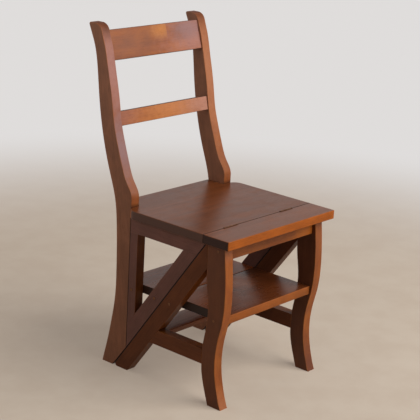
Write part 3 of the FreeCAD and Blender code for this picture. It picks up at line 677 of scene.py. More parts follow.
# Faces that lie across the fibres. The sides of the legs and of the side frames, and the tops and
# bottoms of the leaning rails and the seat rails, are darkened as painted shade. The posts' sides
# are darkened less and made greyer, with a painted sheen. The tread's downward front is darkened as
# painted shade. The long edges of the seat and the shelves are their stain.
LEG_SIDE_PAINTED_SHADE = (0.114, 0.035, 0.013, 1)
POST_SIDE_SHADE_AND_SHEEN = (0.228, 0.093, 0.050, 1)
PANEL_SIDE_PAINTED_SHADE = (0.135, 0.054, 0.040, 1)
RAIL_EDGE_PAINTED_SHADE = (0.100, 0.040, 0.024, 1)
SEAT_EDGE = (0.345, 0.088, 0.010, 1)
SHELF_EDGE = (0.260, 0.075, 0.015, 1)
TREAD_EDGE_PAINTED_SHADE = (0.170, 0.040, 0.003, 1)

# End grain, and the painted shade in the gaps along the seam and the split, which also darkens
# the glued joints along the posts
FRAME_END = (0.380, 0.120, 0.018, 1)
SEAT_END = (0.082, 0.041, 0.030, 1)
STRIP_END = (0.024, 0.010, 0.007, 1)
# end grain of the shelves and the tread, darkened almost to black as painted shade between the
# frames
SHELF_END_GRAIN_AND_SHADE = (0.016, 0.011, 0.009, 1)
GAP_SHADE_AND_JOINT_DARK = (0.012, 0.005, 0.003, 1)

# Patches where the stain is lighter or darker, and patches of painted light, shade and
# reflection: the mauve, rose, pink and greyish ones are painted reflections and sheen, the scroll
# brown one is painted shade, and the apron's and the shelf's ones are painted light
GOLDEN = (0.520, 0.205, 0.050, 1)
AMBER = (0.560, 0.215, 0.070, 1)
SMOKED = (0.150, 0.060, 0.040, 1)
# painted greyish sheen
GREYISH_SHEEN = (0.250, 0.100, 0.056, 1)
# painted shade on the tops of the posts' crowns and the fronts of their scrolls
CROWN_PAINTED_SHADE = (0.110, 0.024, 0.002, 1)
RUDDY = (0.230, 0.068, 0.020, 1)
# painted light on the apron's right end and on the shelf's left part
APRON_PAINTED_LIGHT = (0.430, 0.125, 0.018, 1)
SHELF_PAINTED_LIGHT = (0.260, 0.070, 0.016, 1)
# painted reflections with a cool, pinkish tint
MAUVE_REFLECTION = (0.280, 0.160, 0.160, 1)
ROSE_REFLECTION = (0.380, 0.184, 0.158, 1)
PINK_REFLECTION = (0.440, 0.215, 0.160, 1)
PEACH = (0.430, 0.175, 0.088, 1)
RUSSET = (0.125, 0.036, 0.017, 1)

# Other finishes
PEG_DARK = (0.13, 0.044, 0.016, 1)
PEG_LIGHT = (0.23, 0.083, 0.030, 1)
BEECH_DARK = (0.42, 0.26, 0.13, 1)
BEECH_LIGHT = (0.6, 0.42, 0.25, 1)
BRASS = (0.140, 0.070, 0.042, 1)
BRASS_TARNISH = (0.085, 0.042, 0.025, 1)
STEEL = (0.120, 0.090, 0.070, 1)
STEEL_TARNISH = (0.040, 0.030, 0.025, 1)

# Figure of the wood: features per metre along and across the fibres, detail, roughness and
# distortion of the noise, then the levels between which its mask rises
WOOD_LAYERS = {
    "Streaks": ((4.0, 330.0, 3.0, 0.65), (0.34, 0.68)),
    "Pores": ((45.0, 1500.0, 2.0, 0.5), (0.56, 0.72)),
    "Blotch": ((17.0, 26.0, 4.0, 0.55, 0.5), (0.36, 0.68)),
    "Wash": ((4.0, 7.0, 2.0, 0.5), (0.3, 0.7)),
}
BAND_NOISE = (1.6, 60.0, 4.0, 0.6, 0.6)
WANDER_NOISE = (2.2, 9.0, 2.0)
BAND_LEVELS = (0.32, 0.68)
RUBBED_NOISE = (24.0, 60.0, 4.0)
RUBBED_LEVELS = (0.38, 0.66)

# How strongly each layer of the finish shows, from 0 to 1
WANDER_SHARE = 0.3
LEAST_WORN = 0.2
BAND_SHARE = 0.6
STREAK_SHARE = 0.4
WASH_SHARE = 0.25
SIDE_GRAIN_SHARE = 0.6
SIDE_BLOTCH_SHARE = 0.4
RUBBED_SHARE = 0.35
PORE_SHARE = 0.4
# strength of the painted shade in the gaps of the seam and the split, and of the dark joints
GAP_SHADE_AND_JOINT_SHARE = 0.9
FRAME_END_SHARE = 0.7
BOARD_END_SHARE = 0.92

# Tone of washes and pores against the dark colour, and of the grain of the sides
WASH_TONE = 0.8
PORE_TONE = 0.35
SIDE_DARK_TONE = 0.75
SIDE_LIGHT_TONE = 1.25

# Levels of the direction masks at which a face counts as a side or as end grain
SIDE_LEVELS = (0.3, 0.6)
END_LEVELS = (0.8, 0.96)

# What pores, blotches, and end grain or grooves add to the roughness, and the thin lacquer
PORE_ROUGHNESS = 0.12
BLOTCH_ROUGHNESS = 0.07
OPEN_ROUGHNESS = 0.15
LACQUER_WEIGHT = 0.05
LACQUER_ROUGHNESS = 0.25

# Relief of the grain, in metres, and the height of its streaks against the depth of the pores
GRAIN_DEPTH = 0.00012
STREAK_HEIGHT = 0.3

# Glued-up strips of the boards, in metres, and how much their tone varies
STAVE_WIDTH = 0.062
STAVE_CONTRAST = 0.1

# Outline of the patches of stain and of painted light, shade and reflection: its noise, its
# raggedness, and where the feathering starts and ends. NO_JOINT is an x past every piece.
PATCH_NOISE = (55.0, 4.0, 0.6)
PATCH_RAGGEDNESS = 0.9
PATCH_START = 0.45
PATCH_END = 1.75
NO_JOINT = 9.0

# Marks of the other finishes: features per metre along each axis, detail, and the two levels
# between which they rise
PEG_SPECKS = ((1400.0, 1400.0, 1400.0), 2.0, 0.4, 0.65)
BEECH_LINES = ((200.0, 200.0, 900.0), 3.0, 0.35, 0.65)
TARNISH_PATCHES = ((260.0, 260.0, 260.0), 4.0, 0.35, 0.65)
HINGE_SCRATCHES = ((120.0, 2600.0, 2600.0), 2.0, 0.5, 0.7)
# where the painted shade in the crevice round each peg starts and where it is full
PEG_CREVICE_SHADE_LEVELS = (0.8, 0.93)

# Roughness of the pegs, the bare wood and the metal, what the marks add to it, and their relief
PEG_ROUGHNESS = 0.42
BEECH_ROUGHNESS = 0.6
METAL_ROUGHNESS = 0.45
SPECK_ROUGHNESS = 0.1
LINE_ROUGHNESS = 0.15
TARNISH_ROUGHNESS = 0.15
SCRATCH_ROUGHNESS = 0.1
PEG_GLOSS = 0.2
MARK_RELIEF = 0.2
SPECK_DEPTH = 0.0001
SCRATCH_DEPTH = 0.00005


# Wood
def drawn_noise(tree, fibre, along, across, detail=3.0, roughness=0.55, distortion=0.0):
    """Noise drawn out along the fibres, from its features per metre along and across them."""
    drawn = vector_maths(tree, "MULTIPLY", fibre, (along, across, across))
    return noise(tree, drawn, 1.0, detail, roughness, distortion)


def wood_figure_group():
    """Straight-grained hardwood: growth bands, fine streaks, pores, and stain blotches."""
    labels = ["Bands"] + list(WOOD_LAYERS)
    tree, given, out = group("chair_wood_figure", [("Fibre", "NodeSocketVector")],
                             [(label, "NodeSocketFloat") for label in labels])
    fibre = given.outputs["Fibre"]
    bands = times(tree, drawn_noise(tree, fibre, *BAND_NOISE), 1.0 - WANDER_SHARE)
    wander = times(tree, drawn_noise(tree, fibre, *WANDER_NOISE), WANDER_SHARE)
    bands = plus(tree, bands, wander)
    feed(tree, out, {"Bands": span(tree, bands, *BAND_LEVELS)})
    for label, (settings, levels) in WOOD_LAYERS.items():
        mask = span(tree, drawn_noise(tree, fibre, *settings), *levels)
        feed(tree, out, {label: mask})
    return tree


def rubbed_arris_group():
    """Rim mask broken up by the figure of the wood, where hands and feet have rubbed the stain."""
    tree, given, out = group("chair_rubbed_arris",
                             [("Edge", "NodeSocketFloat"), ("Fibre", "NodeSocketVector")],
                             [("Rubbed", "NodeSocketFloat")])
    patches = drawn_noise(tree, given.outputs["Fibre"], *RUBBED_NOISE)
    patches = span(tree, patches, *RUBBED_LEVELS)
    worn = plus(tree, times(tree, patches, 1.0 - LEAST_WORN), LEAST_WORN)
    feed(tree, out, {"Rubbed": times(tree, given.outputs["Edge"], worn)})
    return tree


WOOD_FIGURE = wood_figure_group()
RUBBED_ARRIS = rubbed_arris_group()


def staved(tree, fibre, colour, width):
    """Glued-up strips: each strip of the given width is a little lighter or darker."""
    strip = maths(tree, "FLOOR", maths(tree, "DIVIDE", axis_part(tree, fibre, "Y"), width))
    shade = node(tree, "ShaderNodeTexWhiteNoise", {"W": strip}, noise_dimensions="1D")
    tone = times(tree, shade.outputs["Value"], STAVE_CONTRAST)
    tone = plus(tree, tone, 1.0 - STAVE_CONTRAST / 2)
    return vector_maths(tree, "MULTIPLY", colour, tone)


def patch(centre, reach, tint, strength, end=NO_JOINT):
    """Patch of colour round a centre, which stops short at the glued joint where x is end."""
    return centre, reach, tint, strength, end


def patched(tree, colour, patches, shown):
    """Patches of stain and of painted light, each feathered over a ragged ball, where shown lets
    them.
    """
    place = object_place(tree)
    across = axis_part(tree, place, "X")
    ragged = times(tree, noise(tree, place, *PATCH_NOISE), PATCH_RAGGEDNESS)
    for centre, reach, tint, strength, end in patches:
        away = vector_maths(tree, "SUBTRACT", place, centre)
        away = vector_maths(tree, "LENGTH", vector_maths(tree, "DIVIDE", away, reach))
        amount = span(tree, plus(tree, away, ragged), PATCH_START, PATCH_END, strength, 0.0)
        amount = times(tree, amount, maths(tree, "LESS_THAN", across, end))
        colour = blend(tree, times(tree, amount, shown), colour, tint)
    return colour


def wood_material(name, stain, side, end, stave=0.0, roughness=0.42, blotch_share=0.4, gloss=0.2,
                  relief=0.25, patches=(), side_dulling=0.0):
    """Stained wood under satin lacquer.

    stain holds the dark, light and warm colours of the grain; warm shows in blotches and on
    rubbed arrises. side is the colour of the faces that lie across the fibres, on the frames
    mostly darkened as painted shade, end is the colour of the end grain with its strength, and
    stave is the width of glued-up strips. blotch_share is the strength of the blotches, gloss that
    of the mirrored light and relief that of the grain's relief. side_dulling is what the faces
    across the fibres add to the roughness.
    """
    dark, light, warm = stain
    end_colour, end_share = end
    material, tree, surface = new_material(name)
    fibre = attribute(tree, "fibre", "Vector")
    figure = node(tree, "ShaderNodeGroup", {"Fibre": fibre}, node_tree=WOOD_FIGURE)
    edge = attribute(tree, "edge")
    arris = node(tree, "ShaderNodeGroup", {"Fibre": fibre, "Edge": edge}, node_tree=RUBBED_ARRIS)
    bands, streaks, pores, blotch, wash = [figure.outputs[label] for label in
                                           ("Bands", "Streaks", "Pores", "Blotch", "Wash")]
    grain = plus(tree, times(tree, bands, BAND_SHARE), times(tree, streaks, STREAK_SHARE))
    colour = blend(tree, grain, dark, light)
    colour = blend(tree, times(tree, blotch, blotch_share), colour, warm)
    colour = blend(tree, times(tree, wash, WASH_SHARE), colour, darker(dark, WASH_TONE))
    on_side = span(tree, attribute(tree, "side_grain"), *SIDE_LEVELS)
    side_tone = plus(tree, times(tree, grain, SIDE_GRAIN_SHARE),
                     times(tree, blotch, SIDE_BLOTCH_SHARE))
    # colour of the faces across the fibres: on the frames mostly painted shade, on boards their
    # stain
    side_stain_and_shade = blend(tree, side_tone, darker(side, SIDE_DARK_TONE),
                       darker(side, SIDE_LIGHT_TONE))
    colour = blend(tree, on_side, colour, side_stain_and_shade)
    if stave:
        colour = staved(tree, fibre, colour, stave)
    if patches:
        colour = patched(tree, colour, patches, maths(tree, "SUBTRACT", 1.0, on_side))
    colour = blend(tree, times(tree, arris.outputs["Rubbed"], RUBBED_SHARE), colour, warm)
    colour = blend(tree, times(tree, pores, PORE_SHARE), colour, darker(dark, PORE_TONE))
    on_end = span(tree, attribute(tree, "end_grain"), *END_LEVELS)
    colour = blend(tree, times(tree, on_end, end_share), colour, end_colour)
    # painted shade in the gaps of the seam and the split, and dark glued joints along the posts
    gap_shade_and_joint = attribute(tree, "gap_shade_and_joint")
    colour = blend(tree, times(tree, gap_shade_and_joint, GAP_SHADE_AND_JOINT_SHARE), colour, GAP_SHADE_AND_JOINT_DARK)
    rough = plus(tree, times(tree, pores, PORE_ROUGHNESS), roughness)
    rough = plus(tree, rough, times(tree, blotch, BLOTCH_ROUGHNESS))
    rough = plus(tree, rough, times(tree, plus(tree, on_end, gap_shade_and_joint), OPEN_ROUGHNESS))
    rough = plus(tree, rough, times(tree, on_side, side_dulling))
    feed(tree, surface, {"Base Color": colour, "Roughness": rough, "Specular IOR Level": gloss,
                         "Coat Weight": LACQUER_WEIGHT, "Coat Roughness": LACQUER_ROUGHNESS})
    height = maths(tree, "SUBTRACT", times(tree, streaks, STREAK_HEIGHT), pores)
    bump(tree, surface, height, relief, GRAIN_DEPTH)
    return material


def frame_wood(name, share, side, gloss=0.2, end=(FRAME_END, FRAME_END_SHARE), patches=()):
    """Wood of the frame, with its stain at a share of the full strength."""
    stain = [darker(colour, share) for colour in FRAME_STAIN]
    return wood_material(name, stain, side, end, gloss=gloss, patches=patches)


def board_wood(name, stain, edge, end_colour, roughness=0.28, gloss=0.16, patches=()):
    """Wood of a glued-up board: smoother on top than at its sides."""
    return wood_material(name, stain, edge, (end_colour, BOARD_END_SHARE), stave=STAVE_WIDTH,
                         roughness=roughness, blotch_share=0.2, gloss=gloss, relief=0.08,
                         patches=patches, side_dulling=0.3)


LEG_WOOD = frame_wood("stained_leg_wood", 1.0, LEG_SIDE_PAINTED_SHADE, patches=(
    # painted light: a paler patch on the left leg's top, where the seat shades it
    patch((-0.18, -0.235, 0.420), (0.05, 0.05, 0.035), PEACH, 0.45),
    patch((-0.18, -0.245, 0.005), (0.05, 0.05, 0.050), PEACH, 0.45),
    patch((0.18, -0.235, 0.390), (0.05, 0.05, 0.080), RUDDY, 0.7),
    patch((0.18, -0.245, 0.015), (0.05, 0.05, 0.110), RUSSET, 0.9)))
# The stringers and stretchers, and the side rails, upper stringers and inner posts, take the
# frame's stain at half strength: painted shade, for members in the shade under the seat and
# shelves.
STRINGER_WOOD = frame_wood("stringer_wood_painted_shade", 0.5, LEG_SIDE_PAINTED_SHADE, gloss=0.1)
SIDE_FRAME_WOOD = frame_wood("side_frame_wood_painted_shade", 0.5, PANEL_SIDE_PAINTED_SHADE)
SEAT_RAIL_WOOD = frame_wood("stained_seat_rail_wood", 0.85, PANEL_SIDE_PAINTED_SHADE, patches=(
    # painted light: the apron's right end made paler where the seat shades it
    patch((0.160, -0.225, 0.405), (0.085, 0.05, 0.080), APRON_PAINTED_LIGHT, 0.95),))
# The posts' end grain, the tops of their crowns and the fronts of their scrolls are darkened as
# painted shade.
POST_WOOD = frame_wood("stained_post_wood", 0.95, POST_SIDE_SHADE_AND_SHEEN, 0.15, (CROWN_PAINTED_SHADE, 0.9), patches=(
    # painted reflections: the rose, mauve and greyish patches on the posts' fronts
    patch((-0.18, 0.190, 0.780), (0.06, 0.20, 0.200), ROSE_REFLECTION, 0.95),
    patch((-0.18, 0.140, 0.590), (0.06, 0.15, 0.105), MAUVE_REFLECTION, 0.95),
    patch((-0.18, 0.105, 0.505), (0.05, 0.10, 0.060), GREYISH_SHEEN, 0.4),
    patch((-0.18, 0.230, 0.908), (0.06, 0.10, 0.055), CROWN_PAINTED_SHADE, 1.0),
    patch((0.18, 0.180, 0.730), (0.06, 0.20, 0.230), PEACH, 0.85),
    patch((0.18, 0.105, 0.505), (0.05, 0.10, 0.060), GREYISH_SHEEN, 0.3),
    patch((0.18, 0.230, 0.908), (0.06, 0.10, 0.050), CROWN_PAINTED_SHADE, 0.8)))
CREST_WOOD = frame_wood("stained_crest_wood", 1.05, RAIL_EDGE_PAINTED_SHADE, patches=(
    # painted reflections: the greyish, rose and mauve patches on the crest
    patch((-0.100, 0.200, 0.845), (0.160, 0.10, 0.080), GREYISH_SHEEN, 0.55),
    patch((0.145, 0.200, 0.840), (0.135, 0.10, 0.080), ROSE_REFLECTION, 0.8),
    patch((0.024, 0.210, 0.872), (0.050, 0.05, 0.028), GOLDEN, 0.8, end=0.042),
    patch((-0.040, 0.200, 0.845), (0.026, 0.05, 0.036), SMOKED, 0.35),
    patch((-0.110, 0.200, 0.855), (0.034, 0.05, 0.026), SMOKED, 0.2),
    patch((0.092, 0.210, 0.862), (0.044, 0.05, 0.030), SMOKED, 0.5),
    patch((0.130, 0.205, 0.870), (0.080, 0.06, 0.040), MAUVE_REFLECTION, 0.8)))
BACK_RAIL_WOOD = frame_wood("stained_back_rail_wood", 1.1, RAIL_EDGE_PAINTED_SHADE, patches=(
    patch((0.030, 0.165, 0.664), (0.170, 0.08, 0.070), AMBER, 0.8),
    # painted reflections: the rose and pink patches at the back rail's ends
    patch((-0.150, 0.165, 0.664), (0.070, 0.05, 0.055), ROSE_REFLECTION, 0.35),
    patch((0.170, 0.165, 0.664), (0.120, 0.08, 0.070), PINK_REFLECTION, 0.9)))
SEAT_WOOD = board_wood("stained_seat_wood", SEAT_STAIN, SEAT_EDGE, SEAT_END)
STRIP_WOOD = board_wood("stained_front_strip_wood", STRIP_STAIN, SEAT_EDGE, STRIP_END)
SHELF_WOOD = board_wood("shelf_wood_painted_shade", SHELF_STAIN_PAINTED_SHADE, SHELF_EDGE, SHELF_END_GRAIN_AND_SHADE, 0.26, patches=(
    # painted light: the shelf's left part made paler than its shaded right part
    patch((-0.13, -0.040, 0.240), (0.150, 0.12, 0.16), SHELF_PAINTED_LIGHT, 0.85),
    patch((0.045, -0.075, 0.240), (0.060, 0.06, 0.16), SHELF_PAINTED_LIGHT, 0.95)))
REAR_SHELF_WOOD = board_wood("rear_shelf_wood_painted_light", REAR_SHELF_STAIN_PAINTED_LIGHT, SHELF_EDGE, SHELF_END_GRAIN_AND_SHADE,
                             0.26)
TREAD_WOOD = board_wood("tread_wood_painted_light", TREAD_STAIN_PAINTED_LIGHT, TREAD_EDGE_PAINTED_SHADE, SHELF_END_GRAIN_AND_SHADE, 0.34, 0.34)


def peg_material():
    """End grain of the pegs: specks of pore, a paler face, and a ring of painted shade round it."""
    material, tree, surface = new_material("stained_peg_wood")
    specks = noise_mask(tree, object_place(tree), *PEG_SPECKS)
    # painted shade in the crevice round the peg
    crevice_shade = span(tree, attribute(tree, "radial"), *PEG_CREVICE_SHADE_LEVELS)
    colour = blend(tree, crevice_shade, blend(tree, specks, PEG_DARK, PEG_LIGHT), GAP_SHADE_AND_JOINT_DARK)
    rough = plus(tree, times(tree, specks, SPECK_ROUGHNESS), PEG_ROUGHNESS)
    feed(tree, surface, {"Base Color": colour, "Roughness": rough,
                         "Specular IOR Level": PEG_GLOSS})
    bump(tree, surface, specks, MARK_RELIEF, SPECK_DEPTH)
    return material


def raw_beech_material():
    """Loose tenons inside the joints: pale unfinished wood."""
    material, tree, surface = new_material("raw_beech")
    lines = noise_mask(tree, object_place(tree), *BEECH_LINES)
    rough = plus(tree, times(tree, lines, LINE_ROUGHNESS), BEECH_ROUGHNESS)
    feed(tree, surface, {"Base Color": blend(tree, lines, BEECH_DARK, BEECH_LIGHT),
                         "Roughness": rough})
    return material


# Metal
def tarnish_group():
    """Patches of tarnish and fine scratches along the hinge."""
    tree, given, out = group("hinge_tarnish", [("Place", "NodeSocketVector")],
                             [("Patches", "NodeSocketFloat"), ("Scratches", "NodeSocketFloat")])
    place = given.outputs["Place"]
    feed(tree, out, {"Patches": noise_mask(tree, place, *TARNISH_PATCHES),
                     "Scratches": noise_mask(tree, place, *HINGE_SCRATCHES)})
    return tree


TARNISH = tarnish_group()


def hinge_material(name, base, tarnish):
    """Dark metal: patches of tarnish in another tone, and scratches that dull it."""
    material, tree, surface = new_material(name)
    wear = node(tree, "ShaderNodeGroup", {"Place": object_place(tree)}, node_tree=TARNISH)
    patches, scratches = wear.outputs["Patches"], wear.outputs["Scratches"]
    rough = plus(tree, times(tree, patches, TARNISH_ROUGHNESS), METAL_ROUGHNESS)
    rough = plus(tree, rough, times(tree, scratches, SCRATCH_ROUGHNESS))
    feed(tree, surface, {"Base Color": blend(tree, patches, base, tarnish), "Roughness": rough,
                         "Metallic": 1.0})
    bump(tree, surface, scratches, MARK_RELIEF, SCRATCH_DEPTH)
    return material


PEG_WOOD = peg_material()
RAW_BEECH = raw_beech_material()
HINGE_METAL = hinge_material("darkened_brass", BRASS, BRASS_TARNISH)
SCREW_METAL = hinge_material("darkened_steel", STEEL, STEEL_TARNISH)


# The pieces
def finish_piece(piece, material, body, replaced):
    """Gives a piece its material and body, and puts it in the place of a bare node."""
    piece.data.materials.append(material)
    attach(piece, body)
    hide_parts(replaced)


def side_members():
    """Every side-frame member, left and right.

    Each has its outline, material, direction of the fibres, body, rim radius, joint lines and
    groove lines.
    """
    members = [
        ("front_leg", leg_outline(), LEG_WOOD, LEG_FIBRES, "front_half", SOFT,
         [at_height(SEAT_UNDER)], []),
        ("back_post", post_outline(), POST_WOOD, POST_FIBRES, "back_half", SOFT,
         [], [post_line, split_line]),
        ("lower_stringer", lower_stringer_outline(), STRINGER_WOOD, STRINGER_FIBRES, "front_half",
         FRAME_SOFT, [at_depth(LEG_BACK)], [split_line]),
        ("upper_stringer", upper_stringer_outline(), SIDE_FRAME_WOOD, STRINGER_FIBRES, "back_half",
         FRAME_SOFT, [at_height(RAIL_UNDER), on_upper_edge], [post_line, split_line]),
        ("side_rail", side_rail_outline(), SIDE_FRAME_WOOD, Y_AXIS, "back_half",
         FRAME_SOFT, [under_side_rail], [post_line, split_line]),
        ("inner_post", inner_post_outline(), SIDE_FRAME_WOOD, Z_AXIS, "back_half",
         FRAME_SOFT, [at_height(RAIL_UNDER), on_upper_edge], [post_line]),
        ("side_stretcher", stretcher_outline(), STRINGER_WOOD, Y_AXIS, "front_half",
         FRAME_SOFT, [], []),
    ]
    number = SIDE_NUMBER
    for name, outline, material, along, body, soft, joints, grooves in members:
        rims = rim_radii(outline, soft, joints, grooves)
        for side, low, high in (("left", -FRAME_OUT, -FRAME_IN), ("right", FRAME_IN, FRAME_OUT)):
            piece = slab("wood_" + name + "_" + side, outline, low, high, upright, rims,
                         along, X_AXIS, number)
            finish_piece(piece, material, body, name + "_" + side)
            number += 1


def rail_section(depths, under):
    """Section of a rail under the seat, with its two lower corners softened."""
    front, rear = depths
    corners = [(front, under), (rear, under), (rear, SEAT_UNDER), (front, SEAT_UNDER)]
    return rounded_polygon(corners, (RAIL_CORNER, RAIL_CORNER, 0, 0))


def front_shelf_section():
    """Front shelf: level from its front edge to the split."""
    low, high = SHELF
    front = SHELF_DEPTHS[0]
    corners = [(front, low), split(low, -1), split(high, -1), (front, high)]
    return rounded_polygon(corners, (SHELF_CORNER, SHELF_SPLIT_CORNER, SHELF_SPLIT_CORNER,
                                     SHELF_CORNER))


def rear_shelf_section():
    """Rear shelf: level from the split to its rear edge."""
    low, high = SHELF
    rear = SHELF_DEPTHS[1]
    corners = [split(low, 1), (rear, low), (rear, high), split(high, 1)]
    return rounded_polygon(corners, (SHELF_SPLIT_CORNER, SHELF_CORNER, SHELF_CORNER,
                                     SHELF_SPLIT_CORNER))


def tread_section():
    """Section of the lower tread, bevelled front and back at the slope of the split."""
    low, high = TREAD
    front, rear = TREAD_DEPTHS
    bevel = (high - low) * SPLIT_SLOPE
    corners = [(front + bevel, low), (rear + bevel, low), (rear, high), (front, high)]
    return rounded_polygon(corners, (TREAD_CORNER,) * 4)


def cross_members():
    """Rails, shelves and tread: sections carried across between the side frames."""
    front_apron = rail_section(APRON_DEPTHS, APRON_UNDER)
    rear_seat_rail = rail_section(REAR_RAIL_DEPTHS, RAIL_UNDER)
    members = [
        ("crest_rail", leaning(*CREST_RAIL), CREST_WOOD, "wood_frame", "back_half"),
        ("back_rail", leaning(*BACK_RAIL), BACK_RAIL_WOOD, "wood_frame", "back_half"),
        ("front_apron", front_apron, SEAT_RAIL_WOOD, "wood_frame", "front_half"),
        ("rear_seat_rail", rear_seat_rail, SEAT_RAIL_WOOD, "wood_frame", "back_half"),
        ("front_shelf", front_shelf_section(), SHELF_WOOD, "wood_panel", "front_half"),
        ("rear_shelf", rear_shelf_section(), REAR_SHELF_WOOD, "wood_panel", "back_half"),
        ("lower_tread", tread_section(), TREAD_WOOD, "wood_panel", "front_half"),
    ]
    for number, (name, section, material, slot, body) in enumerate(members, CROSS_NUMBER):
        grooves = [shelf_split] if name.endswith("shelf") else []
        rims = rim_radii(section, JOINT_SOFT, [], grooves)
        across = Y_AXIS if slot == "wood_panel" else Z_AXIS
        piece = slab("wood_" + name, section, -FRAME_IN, FRAME_IN, upright, rims,
                     X_AXIS, across, number)
        finish_piece(piece, material, body, name)


def seat_boards():
    """Front strip and main board of the seat, lying flat."""
    boards = [("front_seat_board", front_board_outline(), STRIP_WOOD, "front_half"),
              ("main_seat_board", main_board_outline(), SEAT_WOOD, "back_half")]
    for number, (name, outline, material, body) in enumerate(boards, SEAT_NUMBER):
        rims = rim_radii(outline, SEAT_SOFT, [], [seam_line])
        piece = slab("wood_" + name, outline, SEAT_UNDER, SEAT_TOP, level, rims,
                     X_AXIS, Y_AXIS, number)
        finish_piece(piece, material, body, name)


def peg_ends():
    """Round peg ends on the outside of the frames: a thin raised ring round a shallow bowl each.

    Each is a profile of radius and rise turned round the peg's axis.
    """
    groups = (("front_pegs", FRONT_PEGS, "front_half"), ("rear_pegs", REAR_PEGS, "back_half"))
    n, rings = PEG_SIDES, len(PEG_RADIUS)
    turn = np.linspace(0, 2 * math.pi, n, endpoint=False)
    r, t = np.meshgrid(PEG_RADIUS, turn, indexing="ij")
    bowl = ring_faces(n, rings)
    for name, places, body in groups:
        points, faces = [], []
        for side in (-1, 1):
            for depth, height in places:
                start = len(points) * rings * n
                points.append(np.column_stack([side * (FRAME_OUT + np.repeat(PEG_RISE, n)),
                                               depth - HALF_DEPTH + (r * np.cos(t)).ravel(),
                                               height + (r * np.sin(t)).ravel()]))
                made = (bowl + start).tolist()
                made.append(list(range(start + (rings - 1) * n, start + rings * n)))
                made.append(list(range(start, start + n))[::-1])
                faces += made if side > 0 else [face[::-1] for face in made]
        radial = np.tile((r / PEG_RADIUS[0]).ravel(), len(points))
        piece = mesh_piece("peg_ends_" + name.split("_")[0], np.vstack(points) * MM, faces,
                           {"radial": radial})
        finish_piece(piece, PEG_WOOD, body, name)


def dress_cad_nodes():
    """Finishes for the nodes that are shown as they are."""
    for name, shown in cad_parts.items():
        if shown.hide_render:
            continue
        if "loose_tenons" in name:
            chosen = RAW_BEECH
        elif "screws" in name or "pin" in name:
            chosen = SCREW_METAL
        else:
            chosen = HINGE_METAL
        shown.data.materials.clear()
        shown.data.materials.append(chosen)


side_members()
cross_members()
seat_boards()
peg_ends()
dress_cad_nodes()


# Colours of the floor, the background and the even light, and the strength of that light
FLOOR_DARK = (0.59, 0.51, 0.43, 1)
FLOOR_LIGHT = (0.64, 0.57, 0.49, 1)
FLOOR_GLOW = (0.56, 0.46, 0.375, 1)
FLOOR_BOUNCE = (0.45, 0.37, 0.29, 1)
PALE_BACKGROUND = (0.74, 0.72, 0.71, 1)
EVEN_LIGHT = (1.0, 0.98, 0.96, 1)
WORLD_STRENGTH = 0.2

# The floor fades to the background between two distances, in metres, and never glows less
# than LEAST_GLOW; near the chair that glow is painted light that makes the chair's shadow paler.
# FLOOR_HALF is half its side. Its mottling is given like the marks above.
FLOOR_MOTTLE = ((9.0, 9.0, 9.0), 4.0, 0.3, 0.7)
FLOOR_ROUGHNESS = 0.8
FLOOR_GLOSS = 0.1
FADE_START = 0.9
FADE_END = 2.6
LEAST_GLOW = 0.35
FLOOR_HALF = 40.0

# Camera solved from the photograph: azimuth, elevation and roll in degrees, place in metres,
# and focal length and centre of view in pixels of the square picture. The sensor's width is in
# millimetres.
SENSOR_WIDTH = 36.0
CAMERA_ANGLES = (-49.400, 17.653, 3.332)
CAMERA_PLACE = (-2.4734, -2.1419, 1.4285)
PICTURE_SIDE = 420
FOCAL_LENGTH = 1304.14
VIEW_CENTRE = (212, 225)


# Floor, light and camera
def seen_directly(tree):
    """1 for rays that show the surface itself: camera, glossy and transmission rays."""
    path = node(tree, "ShaderNodeLightPath")
    seen = maths(tree, "MAXIMUM", path.outputs["Is Camera Ray"], path.outputs["Is Glossy Ray"])
    return maths(tree, "MAXIMUM", seen, path.outputs["Is Transmission Ray"])


def floor_material():
    """Pale floor that keeps the shadow near the chair and fades to the background further out.

    Light that bounces off it to the chair comes from one even, darker colour. Near the chair it
    also glows a little, painted light that makes the shadow on it paler.
    """
    material, tree, surface = new_material("pale_floor_paint")
    place = object_place(tree)
    mottled = blend(tree, noise_mask(tree, place, *FLOOR_MOTTLE), FLOOR_DARK, FLOOR_LIGHT)
    direct = seen_directly(tree)
    feed(tree, surface, {"Base Color": blend(tree, direct, FLOOR_BOUNCE, mottled),
                         "Roughness": FLOOR_ROUGHNESS, "Specular IOR Level": FLOOR_GLOSS})
    far = span(tree, vector_maths(tree, "LENGTH", place), FADE_START, FADE_END)
    glow_colour = blend(tree, far, FLOOR_GLOW, PALE_BACKGROUND)
    glow = node(tree, "ShaderNodeEmission", {"Color": glow_colour})
    # painted light: the floor glows at least at LEAST_GLOW, near the chair too, paling its shadow
    glowing = plus(tree, times(tree, far, 1.0 - LEAST_GLOW), LEAST_GLOW)
    show_mix(tree, "Material Output", times(tree, glowing, direct), surface.outputs[0],
             glow.outputs[0])
    return material


def floor_sheet(half):
    """Square floor, reaching half its side out from the chair."""
    mesh = bpy.data.meshes.new("pale_floor")
    mesh.from_pydata([(-half, -half, 0), (half, -half, 0), (half, half, 0), (-half, half, 0)], [],
                     [(0, 1, 2, 3)])
    sheet = in_scene("pale_floor", mesh)
    sheet.data.materials.append(floor_material())


def area_light(name, place, target, size, power, colour, spread=math.pi):
    """Rectangular lamp that faces its target."""
    data = bpy.data.lights.new(name, "AREA")
    data.shape = "RECTANGLE"
    data.size, data.size_y = size
    data.energy = power
    data.color = colour
    data.spread = spread
    lamp = in_scene(name, data)
    lamp.location = place
    lamp.rotation_euler = (Vector(target) - Vector(place)).to_track_quat("-Z", "Y").to_euler()


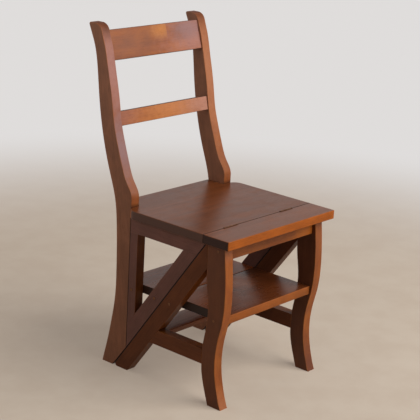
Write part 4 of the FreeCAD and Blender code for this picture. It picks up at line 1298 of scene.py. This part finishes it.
def world_light(strength, colour):
    """Dim even light on the chair, behind which the background shows pale."""
    world = bpy.data.worlds.new("pale_background")
    world.use_nodes = True
    tree = world.node_tree
    dim = tree.nodes["Background"]
    feed(tree, dim, {"Color": colour, "Strength": strength})
    pale = node(tree, "ShaderNodeBackground", {"Color": PALE_BACKGROUND, "Strength": 1.0})
    show_mix(tree, "World Output", seen_directly(tree), dim.outputs[0], pale.outputs[0])
    bpy.context.scene.world = world


def photo_camera():
    """Camera solved from the photograph: place, aim, roll and focal length."""
    azimuth, elevation, roll = map(math.radians, CAMERA_ANGLES)
    back = Vector((math.sin(azimuth) * math.cos(elevation),
                   -math.cos(azimuth) * math.cos(elevation),
                   math.sin(elevation)))
    right = Vector((math.cos(azimuth), math.sin(azimuth), 0))
    up = back.cross(right)
    side = right * math.cos(roll) + up * math.sin(roll)
    top = up * math.cos(roll) - right * math.sin(roll)
    data = bpy.data.cameras.new("photo_camera")
    data.sensor_width = SENSOR_WIDTH
    data.lens = FOCAL_LENGTH / PICTURE_SIDE * SENSOR_WIDTH
    data.shift_x = (PICTURE_SIDE / 2 - VIEW_CENTRE[0]) / PICTURE_SIDE
    data.shift_y = (VIEW_CENTRE[1] - PICTURE_SIDE / 2) / PICTURE_SIDE
    camera = in_scene("photo_camera", data)
    turn = Matrix((side, top, back)).transposed().to_4x4()
    camera.matrix_world = Matrix.Translation(CAMERA_PLACE) @ turn
    bpy.context.scene.camera = camera


floor_sheet(FLOOR_HALF)
area_light("front_window", place=(0.95, -2.7, 2.75), target=(0, 0, 0.45), size=(3.2, 2.4),
           power=142.0, colour=(1.0, 0.94, 0.86))
area_light("cool_side_window", place=(2.5, -2.2, 1.6), target=(0, 0, 0.6), size=(1.0, 1.5),
           power=6.0, colour=(0.86, 0.86, 1.0))
area_light("back_glow", place=(-1.2, 3.0, 1.2), target=(0, 0, 0.3), size=(2.4, 1.6),
           power=22.0, colour=(1.0, 0.88, 0.76))
area_light("left_glow", place=(-2.4, 0.3, 1.9), target=(0, 0.2, 1.0), size=(1.0, 1.0),
           power=1.4, colour=EVEN_LIGHT[:3], spread=0.8)
world_light(WORLD_STRENGTH, EVEN_LIGHT)
photo_camera()
bpy.context.scene.view_settings.view_transform = "Standard"
